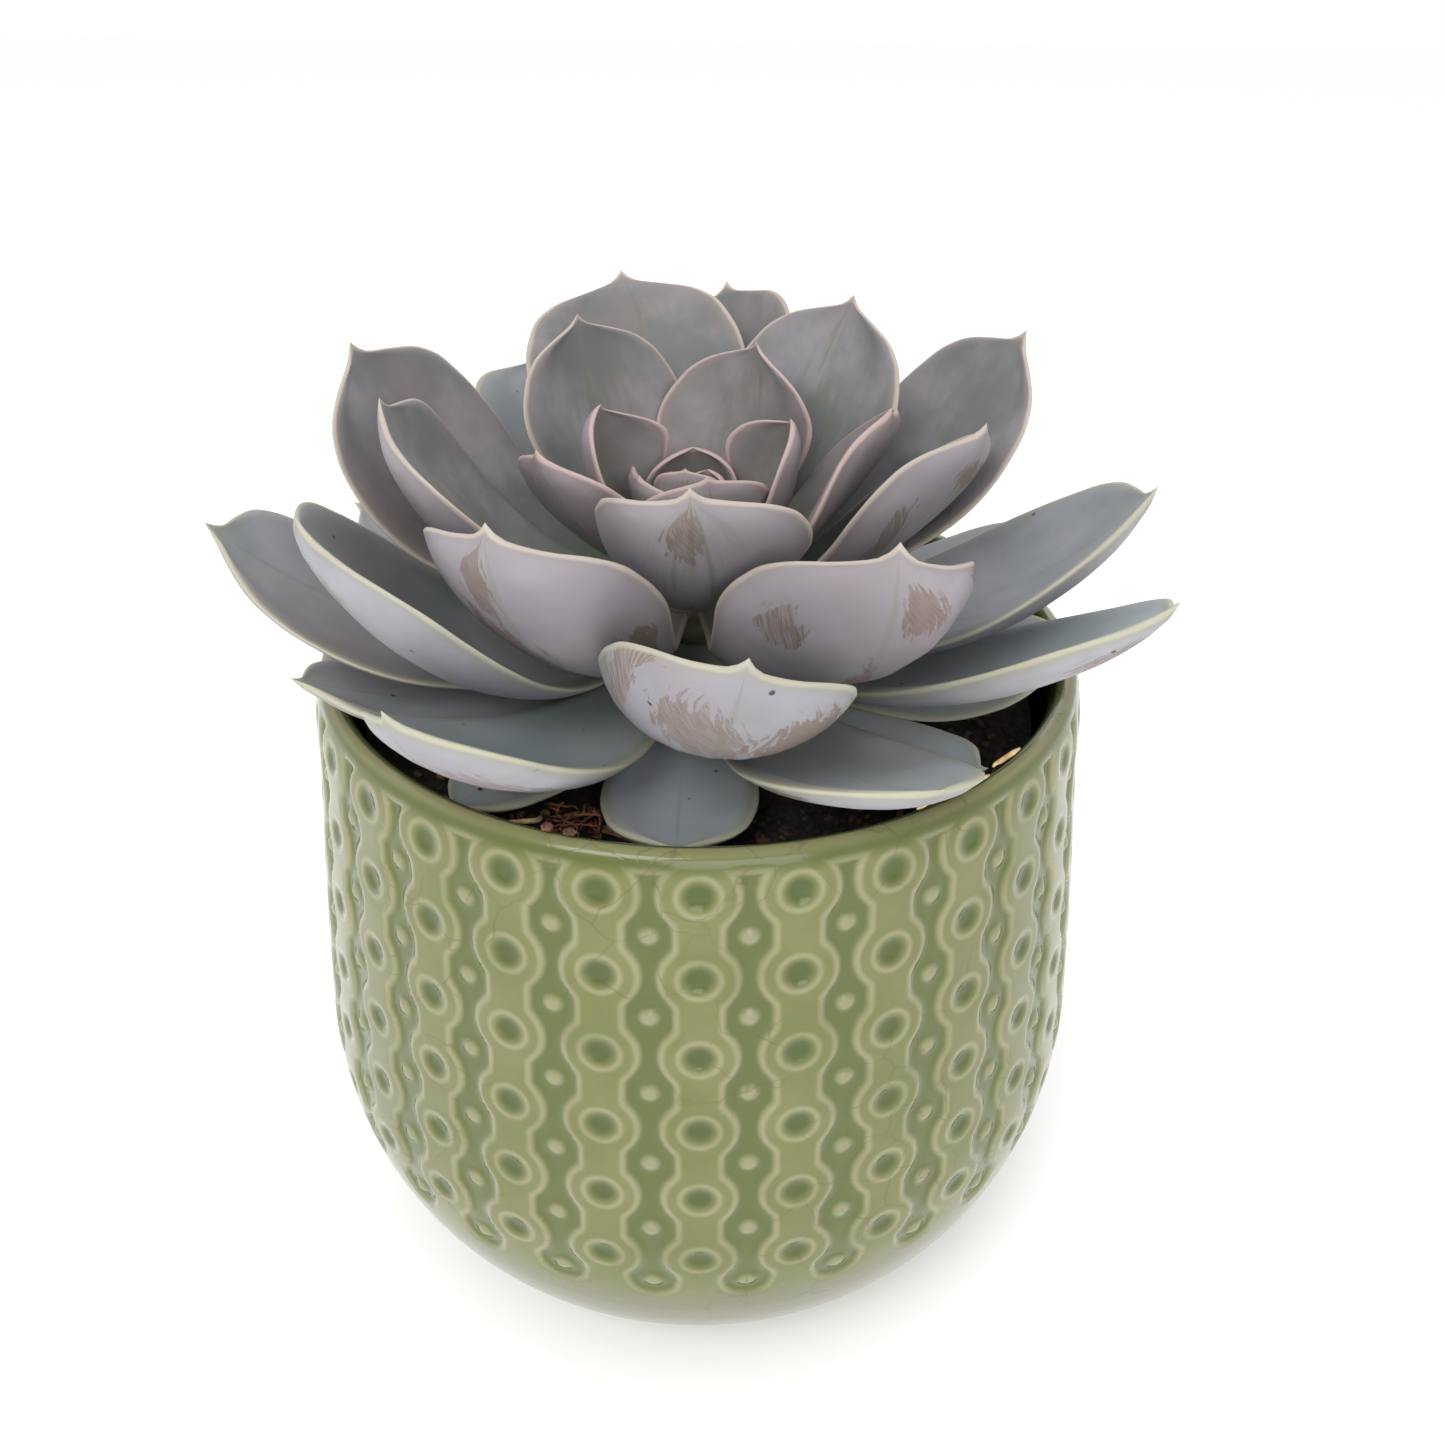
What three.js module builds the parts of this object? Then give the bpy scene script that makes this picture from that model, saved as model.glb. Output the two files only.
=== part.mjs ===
// A rosette succulent growing in a glazed ceramic planter.
// Millimetres, +Z up. The origin is the centre of the planter's foot, on the surface it stands on,
// and the rosette's front faces -Y.
import * as THREE from "three";

// ---------------------------------------------------------------------------
// Driving dimensions
// ---------------------------------------------------------------------------

// The planter: a round-bottomed bowl that narrows a little towards its rim.
const POT_HEIGHT = 121.2;
const POT_RIM_RADIUS = 65;
const POT_BELLY_RADIUS = 73.5;
const POT_BELLY_HEIGHT = 46.9;
const POT_FOOT_RADIUS = 42;
const POT_WALL = 4;
const POT_FLOOR = 6;
const POT_SHOULDER_POWER = 1.22;

// The growing medium fills the planter to just below its rim.
const SOIL_BELOW_RIM = 11.2;
const SOIL_ROUGHNESS = 0.5;
const SOIL_WELL_DEPTH = 14;

// The short stem stands in the soil and carries every leaf.
const STEM_RADIUS = 7;
const STEM_TIP_RADIUS = 1.5;
const STEM_TOP_ABOVE_SOIL = 33;
const LOWEST_LEAF_ABOVE_SOIL = 3;
const LEAF_THICKNESS = 3.4;
const BUD_LEAF_THICKNESS = 1.5;

// The rosette grew to this mouth, on a stem this thick and with leaves this thick. It scales
// with the mouth, a thicker stem covers more of each leaf, and thicker leaves climb the stem.
const GROWN_MOUTH_RADIUS = 61;
const GROWN_STEM_RADIUS = 7;
const GROWN_LEAF_THICKNESS = 3.4;
const CLIMB_PER_RANK = 0.5;

// The plant stands a little to one side of the planter's axis.
const PLANT_OFFSET = -1;

// Pieces that touch keep this much air between them, and leaves stand this far off the stem.
const CLEARANCE = 0.3;
const LEAF_ROOT_GAP = 1;

// Facets round the turned pieces. A facet's middle lies a little inside its circle, and the slack
// keeps a piece inside another one with different facets clear of it.
const CHORD_SLACK = 0.25;
const POT_FACETS = 48;
const SOIL_FACETS = 30;
const STEM_FACETS = 20;

const rad = THREE.MathUtils.degToRad;
const lerp = THREE.MathUtils.lerp;
const clamp = THREE.MathUtils.clamp;

// ---------------------------------------------------------------------------
// Materials
// ---------------------------------------------------------------------------

const FINISHES = {
  glaze: { color: 0x9fae76, roughness: 0.25 },
  soil: { color: 0x17120f, roughness: 0.95 },
  stem: { color: 0x8f9a78, roughness: 0.7 },
  outerLeaf: { color: 0x8e9497, roughness: 0.6 },
  innerLeaf: { color: 0x9a8f94, roughness: 0.6 },
  coir: { color: 0x7a4a2c, roughness: 0.9 },
  bark: { color: 0x8a6a4c, roughness: 0.85 },
  straw: { color: 0xc9a86a, roughness: 0.8 },
};

function material(finish) {
  return new THREE.MeshStandardMaterial({ ...finish, metalness: 0 });
}

// ---------------------------------------------------------------------------
// Turned pieces
// ---------------------------------------------------------------------------

// Turns a profile of [radius, height] pairs about the vertical axis.
function turned(profile, facets) {
  const points = profile.map(([radius, height]) => new THREE.Vector2(radius, height));
  const geometry = new THREE.LatheGeometry(points, facets);
  geometry.rotateX(Math.PI / 2);
  return geometry;
}

// The planter's outside: a quarter ellipse from the foot to the belly, then a soft shoulder.
function potOuterRadius(height) {
  if (height < POT_BELLY_HEIGHT) {
    const drop = (POT_BELLY_HEIGHT - height) / POT_BELLY_HEIGHT;
    return POT_FOOT_RADIUS + (POT_BELLY_RADIUS - POT_FOOT_RADIUS) * Math.sqrt(1 - drop * drop);
  }
  const rise = (height - POT_BELLY_HEIGHT) / (POT_HEIGHT - POT_BELLY_HEIGHT);
  return POT_BELLY_RADIUS - (POT_BELLY_RADIUS - POT_RIM_RADIUS) * rise ** POT_SHOULDER_POWER;
}

// The inside keeps the wall's thickness and closes on a flat floor.
function potInnerRadius(height) {
  if (height < POT_BELLY_HEIGHT) {
    const drop = (POT_BELLY_HEIGHT - height) / (POT_BELLY_HEIGHT - POT_FLOOR);
    const floorRadius = POT_FOOT_RADIUS - POT_WALL;
    const round = Math.sqrt(Math.max(0, 1 - drop * drop));
    return floorRadius + (POT_BELLY_RADIUS - POT_FOOT_RADIUS) * round;
  }
  return potOuterRadius(height) - POT_WALL;
}

// Heights that crowd towards the floor, where the bowl turns under.
function bowlHeights(bottom, top, count) {
  const heights = [];
  for (let i = 0; i <= count; i++) {
    const share = i / count;
    heights.push(bottom + (top - bottom) * (1 - Math.cos((share * Math.PI) / 2)));
  }
  return heights;
}

const LOWER_STEPS = 8;
const UPPER_STEPS = 5;
const LIP_STEPS = 4;

function potGeometry() {
  const lipRadius = POT_WALL / 2;
  const lipHeight = POT_HEIGHT - lipRadius;
  const lipCentre = potOuterRadius(lipHeight) - lipRadius;
  const upperHeight = (step) => lerp(POT_BELLY_HEIGHT, lipHeight, step / UPPER_STEPS);
  const profile = [[0, 0]];
  for (const height of bowlHeights(0, POT_BELLY_HEIGHT, LOWER_STEPS)) {
    profile.push([potOuterRadius(height), height]);
  }
  for (let step = 1; step < UPPER_STEPS; step++) {
    profile.push([potOuterRadius(upperHeight(step)), upperHeight(step)]);
  }
  for (let step = 0; step <= LIP_STEPS; step++) {
    const turn = (Math.PI * step) / LIP_STEPS;
    profile.push([lipCentre + lipRadius * Math.cos(turn), lipHeight + lipRadius * Math.sin(turn)]);
  }
  for (let step = UPPER_STEPS - 1; step > 0; step--) {
    profile.push([potInnerRadius(upperHeight(step)), upperHeight(step)]);
  }
  for (const height of bowlHeights(POT_FLOOR, POT_BELLY_HEIGHT, LOWER_STEPS).reverse()) {
    profile.push([potInnerRadius(height), height]);
  }
  profile.push([0, POT_FLOOR]);
  return turned(profile, POT_FACETS);
}

const soilTop = POT_HEIGHT - SOIL_BELOW_RIM;
const plantScale = (POT_RIM_RADIUS - POT_WALL) / GROWN_MOUTH_RADIUS;
const plantX = PLANT_OFFSET * plantScale;
const SOIL_TOP_RINGS = 6;

// The clods on the soil are two crossed waves, in radians per mm.
const CLOD_WAVE_X = 0.31;
const CLOD_WAVE_Y = 0.27;
const SLANTED_WAVE = 0.13;

// The soil is a plug cast to the planter's inside, with a well for the stem and an uneven top.
function soilGeometry() {
  const bottom = POT_FLOOR + CLEARANCE;
  const wellRadius = STEM_RADIUS * plantScale + Math.abs(plantX) + CLEARANCE;
  const fit = CLEARANCE + CHORD_SLACK;
  const profile = [[0, bottom]];
  for (const height of bowlHeights(POT_FLOOR, POT_BELLY_HEIGHT, LOWER_STEPS)) {
    profile.push([potInnerRadius(height) - fit, height + CLEARANCE]);
  }
  const middle = (POT_BELLY_HEIGHT + soilTop) / 2;
  profile.push([potInnerRadius(middle) - fit, middle]);
  const topRadius = potInnerRadius(soilTop) - fit;
  for (let ring = 0; ring <= SOIL_TOP_RINGS; ring++) {
    profile.push([lerp(topRadius, wellRadius, ring / SOIL_TOP_RINGS), soilTop]);
  }
  profile.push([wellRadius, soilTop - SOIL_WELL_DEPTH]);
  profile.push([0, soilTop - SOIL_WELL_DEPTH]);
  const geometry = turned(profile, SOIL_FACETS);
  roughenTop(geometry, soilTop, SOIL_ROUGHNESS);
  return geometry;
}

// Lowers the points of a level top by a wavy amount, so that it stays clear of what lies on it.
function roughenTop(geometry, level, depth) {
  const position = geometry.getAttribute("position");
  for (let i = 0; i < position.count; i++) {
    if (position.getZ(i) < level - CLEARANCE) continue;
    const x = position.getX(i);
    const y = position.getY(i);
    const clods = Math.sin(CLOD_WAVE_X * x + 1) * Math.cos(CLOD_WAVE_Y * y);
    const wave = clods + Math.sin(SLANTED_WAVE * (x - 2 * y));
    position.setZ(i, level - depth * (1 + wave / 2));
  }
}

// ---------------------------------------------------------------------------
// The plant
// ---------------------------------------------------------------------------

// The outline of every leaf: [share of the length, share of the full width]. The leaf is widest
// at two thirds of its length, rounds in, and ends in a small drawn-out point.
const LEAF_OUTLINE = [
  [0, 0.2],
  [0.12, 0.36],
  [0.26, 0.6],
  [0.44, 0.86],
  [0.62, 1],
  [0.76, 0.93],
  [0.845, 0.79],
  [0.895, 0.6],
  [0.932, 0.34],
  [0.96, 0.12],
];

// The points round a leaf's section: how far across (-1 to 1, margin to margin) and how far
// through the flesh (0 on the upper skin, 1 on the lower one).
const LEAF_SECTION = [
  [-0.93, 0],
  [-0.5, 0],
  [0, 0],
  [0.5, 0],
  [0.93, 0],
  [1, 0.5],
  [0.85, 1],
  [0.4, 1],
  [-0.4, 1],
  [-0.85, 1],
  [-1, 0.5],
];
const MARGIN_THICKNESS_SHARE = 0.4;
const THICKNESS_AT_ROOT = 0.56;

// How soon along the leaf each change sets in. Higher powers come later.
const SWEEP_POWER = 1.5;
const ROLL_POWER = 0.8;
const FULLNESS_POWER = 0.8;
const TIP_TAPER = 0.12;

// The trough is shallow at the root, full from a third of the length, and less where it's narrow.
const CUP_AT_ROOT = 0.3;
const CUP_GAIN = 2;
const CUP_WIDTH_POWER = 0.6;

const MIDLINE_STEPS = 8;
// Keeps a flat leaf's radius of bend finite.
const NEARLY_FLAT = 1e-6;
const up = new THREE.Vector3(0, 0, 1);

// The leaves from the heart outwards, down the stem. Angles are in degrees and sizes in mm:
// heading turns from the front (-Y) towards +X, rise is the slope at the root and at the tip,
// curl delays the change between them, cup is the half angle of the trough, lop deepens it on
// one side, roll tips the blade and sweep bends it sideways.
// heading, length, width, rise at root, rise at tip, curl, cup, lop, roll, sweep
const LEAVES = [
  [40, 7, 5, 82, 90, 1.4, 42, 0, 0, 0],
  [-96, 8, 7, 80, 90, 1.4, 40, 0, 0, 0],
  [124, 9, 9, 86, 104, 1.2, 42, 10, 20, 4],
  [-12, 13, 12, 73, 89, 1.4, 42, 0, 2, 0],
  [183, 14, 18, 62, 114, 0.8, 64, -16, 6, 2],
  [-52, 15, 19, 58, 76, 1.5, 42, 10, -12, -2],
  [10, 21, 22, 46, 79, 1.7, 20, 0, 12, -8],
  [-98, 27, 26, 50, 108, 2.2, 74, -24, -26, 16],
  [90, 26, 25, 46, 90, 1.1, 68, 24, 26, -20],
  [-48, 35, 26, 32, 68, 1.4, 22, 18, 4, -10],
  [160, 38, 35, 33, 88, 1.4, 30, 24, -34, -16],
  [83, 39, 33, 32, 66, 0.9, 16, 24, -10, -22],
  [3, 50, 34, 19, 71, 1.4, 48, -24, 10, -10],
  [-142, 46, 40, 31, 83, 1.1, 20, 4, 14, 4],
  [-68, 58, 41, -1, 76, 0.8, 32, 26, -24, 0],
  [140, 53, 40, 31, 74, 1, 18, 0, 2, -18],
  [75, 52, 34, 18, 68, 1.2, 44, 24, -26, -8],
  [-164, 68, 43, 27, 43, 0.9, 30, 6, -12, -6],
  [33, 67, 43, -10, 88, 1.3, 72, 24, -20, -22],
  [-31, 66, 39, -14, 74, 0.8, 56, 16, -12, 20],
  [-96, 66, 45, 9, 74, 0.9, 12, 14, -34, 18],
  [109, 67, 41, 10, 64, 0.7, 12, -12, 22, -22],
  [175, 71, 40, 27, 43, 1.3, 42, -2, -28, 0],
  [-58, 75, 46, -28, 70, 0.7, 36, 8, -20, 24],
  [-146, 66, 40, 15, 36, 1, 20, 14, 12, -12],
  [78, 76, 40, -5, 59, 1, 24, -4, 10, -22],
  [-111, 61, 31, 3, 19, 1, 6, 8, 2, 4],
  [149, 66, 35, 18, 34, 1.5, 16, 2, 8, 0],
  [2, 79, 38, -20, 60, 0.7, 52, 0, -20, 12],
  [116, 69, 32, -11, 30, 1.2, 8, -20, 0, -12],
  [-80, 78, 42, -19, 52, 0.7, 10, 24, -24, 20],
  [-179, 66, 38, 10, 28, 1.4, 18, 0, 2, 0],
  [-28, 77, 32, -13, 60, 1.2, 26, 6, 0, -4],
  [62, 83, 32, -3, 50, 1, 24, -20, 10, -28],
  [-136, 66, 35, 2, 19, 1.4, 14, -4, -4, 0],
  [26, 74, 31, -15, 36, 0.7, 14, -8, -4, -6],
  [-64, 64, 30, -15, 34, 0.8, 6, 0, 2, 12],
  [162, 65, 37, 4, 20, 1.4, 8, 10, 10, 0],
  [83, 60, 29, -8, 28, 1, 8, 10, 10, -24],
  [-3, 51, 24, -7, 17, 1.7, 6, 4, -3, 4],
  [-112, 58, 33, -1, 24, 1.2, 8, 0, 6, 0],
  [124, 53, 27, -1, 20, 2.2, 6, -2, -2, -16],
  [46, 54, 20, -3, 28, 2.2, 6, 6, 4, 2],
  [-39, 50, 18, -1, 6, 2, 8, 0, 0, 0],
];
const LAST_RANK = LEAVES.length - 1;

// The stem is full width from this rank down, and leaves are full thickness from the buds down.
const ROOT_TAPER_RANK = 14;
const BUD_RANKS = 12;
const RANK_SPACING_POWER = 0.85;
const STEM_TIP_RANKS = [9, 4, 0];

// How high a leaf of this rank joins the stem.
function rootHeight(rank) {
  const down = (rank / LAST_RANK) ** RANK_SPACING_POWER;
  const climb = (LEAF_THICKNESS - GROWN_LEAF_THICKNESS) * (1 + CLIMB_PER_RANK * (LAST_RANK - rank));
  return soilTop + plantScale * (lerp(STEM_TOP_ABOVE_SOIL, LOWEST_LEAF_ABOVE_SOIL, down) + climb);
}

function stemRadiusAt(rank, fullRadius = STEM_RADIUS) {
  return plantScale * lerp(STEM_TIP_RADIUS, fullRadius, Math.min(1, rank / ROOT_TAPER_RANK));
}

// The length that shows outside the stem.
function freeLength(leaf) {
  const covered = stemRadiusAt(leaf.rank) - stemRadiusAt(leaf.rank, GROWN_STEM_RADIUS);
  return leaf.length * plantScale - covered;
}

function stemGeometry() {
  const bottom = soilTop - SOIL_WELL_DEPTH + CLEARANCE;
  const profile = [
    [0, bottom],
    [stemRadiusAt(LAST_RANK), bottom],
    [stemRadiusAt(LAST_RANK), rootHeight(ROOT_TAPER_RANK) - LEAF_THICKNESS],
  ];
  for (const rank of STEM_TIP_RANKS) {
    profile.push([stemRadiusAt(rank), rootHeight(rank) - LEAF_THICKNESS / 2]);
  }
  profile.push([0, rootHeight(0) - LEAF_THICKNESS / 2]);
  return turned(profile, STEM_FACETS);
}

function leafThickness(rank) {
  const grown = Math.min(1, rank / BUD_RANKS);
  return plantScale * lerp(BUD_LEAF_THICKNESS, LEAF_THICKNESS, grown);
}

// The blade's directions at a share of its length: along it, across it and out of its upper face.
function bladeFrame(leaf, share) {
  const rise = rad(lerp(leaf.riseRoot, leaf.riseTip, share ** leaf.curl));
  const turn = rad(leaf.heading + leaf.sweep * share ** SWEEP_POWER);
  const outward = new THREE.Vector3(Math.sin(turn), -Math.cos(turn), 0);
  const side = new THREE.Vector3(Math.cos(turn), Math.sin(turn), 0);
  const along = outward.clone().multiplyScalar(Math.cos(rise)).addScaledVector(up, Math.sin(rise));
  const normal = outward.multiplyScalar(-Math.sin(rise)).addScaledVector(up, Math.cos(rise));
  const roll = rad(leaf.roll) * share ** ROLL_POWER;
  const across = side.clone().multiplyScalar(Math.cos(roll)).addScaledVector(normal, Math.sin(roll));
  normal.multiplyScalar(Math.cos(roll)).addScaledVector(side, -Math.sin(roll));
  return { along, across, normal };
}

// Walks the midline outwards from the stem and keeps the point and directions at each station.
function bladeStations(leaf, shares) {
  const turn = rad(leaf.heading);
  const reach = stemRadiusAt(leaf.rank) + LEAF_ROOT_GAP * plantScale;
  const root = [plantX + reach * Math.sin(turn), -reach * Math.cos(turn), rootHeight(leaf.rank)];
  const point = new THREE.Vector3(...root);
  const stations = [];
  let share = 0;
  for (const next of shares) {
    const step = (next - share) / MIDLINE_STEPS;
    for (let i = 0; i < MIDLINE_STEPS; i++) {
      const middle = share + (i + 0.5) * step;
      point.addScaledVector(bladeFrame(leaf, middle).along, step * freeLength(leaf));
    }
    share = next;
    stations.push({ share, point: point.clone(), ...bladeFrame(leaf, share) });
  }
  return stations;
}

// One point of a leaf's skin.
function skinPoint(leaf, station, widthShare, across, through) {
  const halfWidth = (leaf.width * plantScale * widthShare) / 2;
  const opening = widthShare ** CUP_WIDTH_POWER * clamp(CUP_AT_ROOT + CUP_GAIN * station.share, 0, 1);
  const bend = rad(leaf.cup + leaf.lop * Math.sign(across)) * opening + NEARLY_FLAT;
  const radius = halfWidth / bend;
  const angle = bend * across;
  const swell = Math.sin(Math.PI * station.share ** FULLNESS_POWER);
  const fullness = lerp(THICKNESS_AT_ROOT, 1, swell);
  const taper = Math.sqrt(clamp((1 - station.share) / TIP_TAPER, 0, 1));
  const round = Math.max(Math.sqrt(1 - across * across), MARGIN_THICKNESS_SHARE);
  const depth = leafThickness(leaf.rank) * fullness * taper * round * through;
  const normal = station.normal.clone().multiplyScalar(Math.cos(angle));
  normal.addScaledVector(station.across, -Math.sin(angle));
  return station.point
    .clone()
    .addScaledVector(station.across, radius * Math.sin(angle))
    .addScaledVector(station.normal, radius * (1 - Math.cos(angle)))
    .addScaledVector(normal, -depth);
}

// A leaf is a stack of sections closed by a flat root and a pointed tip.
function leafGeometry(leaf) {
  const stations = bladeStations(leaf, [...LEAF_OUTLINE.map(([share]) => share), 1]);
  const tip = stations.pop();
  const points = [];
  stations.forEach((station, i) => {
    for (const [across, through] of LEAF_SECTION) {
      points.push(skinPoint(leaf, station, LEAF_OUTLINE[i][1], across, through));
    }
  });
  const around = LEAF_SECTION.length;
  const faces = [];
  for (let i = 0; i + 1 < stations.length; i++) {
    for (let j = 0; j < around; j++) {
      const a = i * around + j;
      const b = i * around + ((j + 1) % around);
      faces.push(a, a + around, b, b, a + around, b + around);
    }
  }
  const lastRing = (stations.length - 1) * around;
  const tipIndex = points.push(tip.point) - 1;
  for (let j = 0; j < around; j++) {
    faces.push(lastRing + j, tipIndex, lastRing + ((j + 1) % around));
  }
  for (let j = 1; j + 1 < around; j++) {
    faces.push(0, j, j + 1);
  }
  const geometry = new THREE.BufferGeometry().setFromPoints(points);
  geometry.setIndex(faces);
  return geometry;
}

// ---------------------------------------------------------------------------
// Litter on the soil and the rim
// ---------------------------------------------------------------------------

const STRAW_RADIUS = 0.45;
const STRAW_SIDES = 6;
const STRAW_STEPS = 8;
const STRAW_ARCH = 0.8;

// A stalk of straw along a curve.
function strawGeometry(route) {
  const section = new THREE.Shape();
  for (let i = 0; i < STRAW_SIDES; i++) {
    const turn = (2 * Math.PI * i) / STRAW_SIDES;
    const x = STRAW_RADIUS * Math.cos(turn);
    const y = STRAW_RADIUS * Math.sin(turn);
    if (i === 0) section.moveTo(x, y);
    else section.lineTo(x, y);
  }
  section.closePath();
  const extrudePath = new THREE.CatmullRomCurve3(route.map((point) => new THREE.Vector3(...point)));
  return new THREE.ExtrudeGeometry(section, { steps: STRAW_STEPS, extrudePath, curveSegments: 1 });
}

// A crumb, lump or tuft: a faceted ball squashed to its size.
function lumpGeometry([sizeX, sizeY, sizeZ], detail) {
  const geometry = new THREE.IcosahedronGeometry(1, detail);
  geometry.scale(sizeX / 2, sizeY / 2, sizeZ / 2);
  return geometry;
}

// A sliver of bark with slanted ends.
function chipGeometry(length, width, thickness) {
  const outline = new THREE.Shape();
  outline.moveTo(-length / 2, -width / 2);
  outline.lineTo(length / 2 - width / 3, -width / 2);
  outline.lineTo(length / 2, width / 4);
  outline.lineTo(length / 4, width / 2);
  outline.lineTo(-length / 2 + width / 2, width / 3);
  outline.closePath();
  return new THREE.ExtrudeGeometry(outline, { depth: thickness, bevelEnabled: false });
}

// ---------------------------------------------------------------------------
// The whole object
// ---------------------------------------------------------------------------

const plant = new THREE.Group();

function add(name, geometry, surface, place = [0, 0, 0], turn = [0, 0, 0]) {
  const mesh = new THREE.Mesh(geometry, surface);
  mesh.name = name;
  mesh.position.set(...place);
  mesh.rotation.set(...turn.map(rad));
  plant.add(mesh);
}

add("pot", potGeometry(), material(FINISHES.glaze));
add("potting_soil", soilGeometry(), material(FINISHES.soil));
add("stem", stemGeometry(), material(FINISHES.stem), [plantX, 0, 0]);

LEAVES.forEach(([heading, length, width, riseRoot, riseTip, curl, cup, lop, roll, sweep], rank) => {
  const leaf = { rank, heading, length, width, riseRoot, riseTip, curl, cup, lop, roll, sweep };
  const finish = rank < BUD_RANKS ? FINISHES.innerLeaf : FINISHES.outerLeaf;
  add(`leaf_${String(rank + 1).padStart(2, "0")}`, leafGeometry(leaf), material(finish));
});

// Straws are routed over the rim and the soil: [degrees from the front, inwards of the rim's
// crest, above the rim].
const crestRadius = POT_RIM_RADIUS - POT_WALL / 2;
const strawRest = CLEARANCE + STRAW_RADIUS;

function besideRim([angle, inwards, above]) {
  const radius = crestRadius - inwards * plantScale;
  const turn = rad(angle);
  return [radius * Math.sin(turn), -radius * Math.cos(turn), POT_HEIGHT + above];
}

const STRAWS = {
  straw_over_rim: [
    [29, 0, strawRest],
    [34.5, 0, strawRest + STRAW_ARCH],
    [42, 0, strawRest],
  ],
  straw_beside_rim: [
    [44, 1, strawRest],
    [50.5, 0.6, strawRest],
  ],
  straw_on_soil: [
    [-26.5, 3.4, -3],
    [-24.5, 7, -4.6],
    [-27, 12, -8],
  ],
};
for (const [name, route] of Object.entries(STRAWS)) {
  add(name, strawGeometry(route.map(besideRim)), material(FINISHES.straw));
}

// Lumps lie on the soil or on the rim's crest: [name, degrees from the front, radius, base height,
// size, finish].
const grown = (radius) => radius * plantScale;
const LUMPS = [
  ["coir_tuft", -21.5, grown(49.5), soilTop, [9, 5.5, 4], FINISHES.coir],
  ["bark_lump", -9, grown(54), soilTop, [3.6, 3.2, 3], FINISHES.bark],
  ["crumb_on_rim_1", -18.5, crestRadius, POT_HEIGHT, [2, 1.5, 1.4], FINISHES.coir],
  ["crumb_on_rim_2", -15.5, crestRadius, POT_HEIGHT, [2.2, 1.4, 1.2], FINISHES.coir],
];
for (const [name, angle, radius, base, size, finish] of LUMPS) {
  const place = [radius * Math.sin(rad(angle)), -radius * Math.cos(rad(angle))];
  const middle = base + CLEARANCE + size[2] / 2;
  add(name, lumpGeometry(size, 1), material(finish), [...place, middle], [0, 0, angle]);
}

// Slivers of bark lie flat on the soil: [name, degrees from the front, radius, size, twist].
const CHIPS = [
  ["bark_chip_1", -12.5, grown(47.5), [8, 2.2, 1.2], -28],
  ["bark_chip_2", -13, grown(43.5), [6, 1.8, 1], 12],
];
for (const [name, angle, radius, size, twist] of CHIPS) {
  const place = [radius * Math.sin(rad(angle)), -radius * Math.cos(rad(angle))];
  const level = soilTop + CLEARANCE;
  add(name, chipGeometry(...size), material(FINISHES.bark), [...place, level], [0, 0, twist]);
}

export default plant;
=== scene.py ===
# %% [markdown]
# # A rosette succulent in a glazed planter
# The object is a fleshy rosette, grown in dark potting soil, in a round planter with a moulded
# pattern of ring chains under a green crackle glaze. The solid model gives every piece its
# place and size. This lesson gives each piece its fine surface and its finish: the planter's
# relief is pressed into a turned wall, each leaf is drawn again from its few solid sections,
# and the soil gets its crumbs, fibres and straws. Lengths are in metres unless a name says mm.

# %% Load the solid model
import math
import random

import bmesh
import bpy
from mathutils import Matrix, Vector, noise


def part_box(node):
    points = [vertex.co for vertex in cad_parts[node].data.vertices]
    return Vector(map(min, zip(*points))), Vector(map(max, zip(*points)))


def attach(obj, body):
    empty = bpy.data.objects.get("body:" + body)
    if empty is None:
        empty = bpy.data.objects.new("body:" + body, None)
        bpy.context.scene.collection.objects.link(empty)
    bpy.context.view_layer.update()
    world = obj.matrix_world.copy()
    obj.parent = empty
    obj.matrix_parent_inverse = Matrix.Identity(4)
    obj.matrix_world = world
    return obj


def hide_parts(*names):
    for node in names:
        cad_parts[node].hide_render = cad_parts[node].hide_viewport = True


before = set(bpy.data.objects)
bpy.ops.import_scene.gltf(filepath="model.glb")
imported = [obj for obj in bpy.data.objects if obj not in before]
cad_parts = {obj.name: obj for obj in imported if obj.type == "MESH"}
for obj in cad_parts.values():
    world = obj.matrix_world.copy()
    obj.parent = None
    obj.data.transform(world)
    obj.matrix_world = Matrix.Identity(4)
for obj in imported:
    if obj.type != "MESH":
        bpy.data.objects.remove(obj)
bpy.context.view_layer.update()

MM = 0.001

# %% [markdown]
# ## Camera
# The object is seen from a little above, near enough for the rim to look wide and the base
# narrow. A short lens close by gives that look, and a long lens far away would flatten it. The
# camera turns down by its pitch, and its small yaw and roll keep the planter's axis upright.

# %% Camera
CAMERA_PLACE = Vector((2.2, -189.7, 221.3)) * MM
CAMERA_LENS_MM = 30.1
PITCH_DOWN, YAW, ROLL = 32.36, 0.58, -0.54

lens = bpy.data.cameras.new("camera")
lens.lens = CAMERA_LENS_MM
lens.sensor_width = 36
lens.clip_start = 0.01
camera = bpy.data.objects.new("camera", lens)
bpy.context.scene.collection.objects.link(camera)
turn = Matrix.Rotation(math.radians(-YAW), 4, "Z")
tilt = Matrix.Rotation(math.radians(90 - PITCH_DOWN), 4, "X")
lean = Matrix.Rotation(math.radians(-ROLL), 4, "Z")
camera.matrix_world = Matrix.Translation(CAMERA_PLACE) @ turn @ tilt @ lean
bpy.context.scene.camera = camera
print("camera at", tuple(round(value, 4) for value in CAMERA_PLACE))

# %% [markdown]
# ## Helpers for finishes
# A finish is a small network of nodes. Writing each node by hand takes several lines, so these
# helpers add one node and wire it in a single call. Plain numbers go straight on the sockets.

# %% Node helpers
def wire(tree, value, socket):
    """Sets a socket to a plain value, or links it when the value is another node's output."""
    if isinstance(value, bpy.types.NodeSocket):
        tree.links.new(value, socket)
    elif value is not None:
        socket.default_value = value


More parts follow.
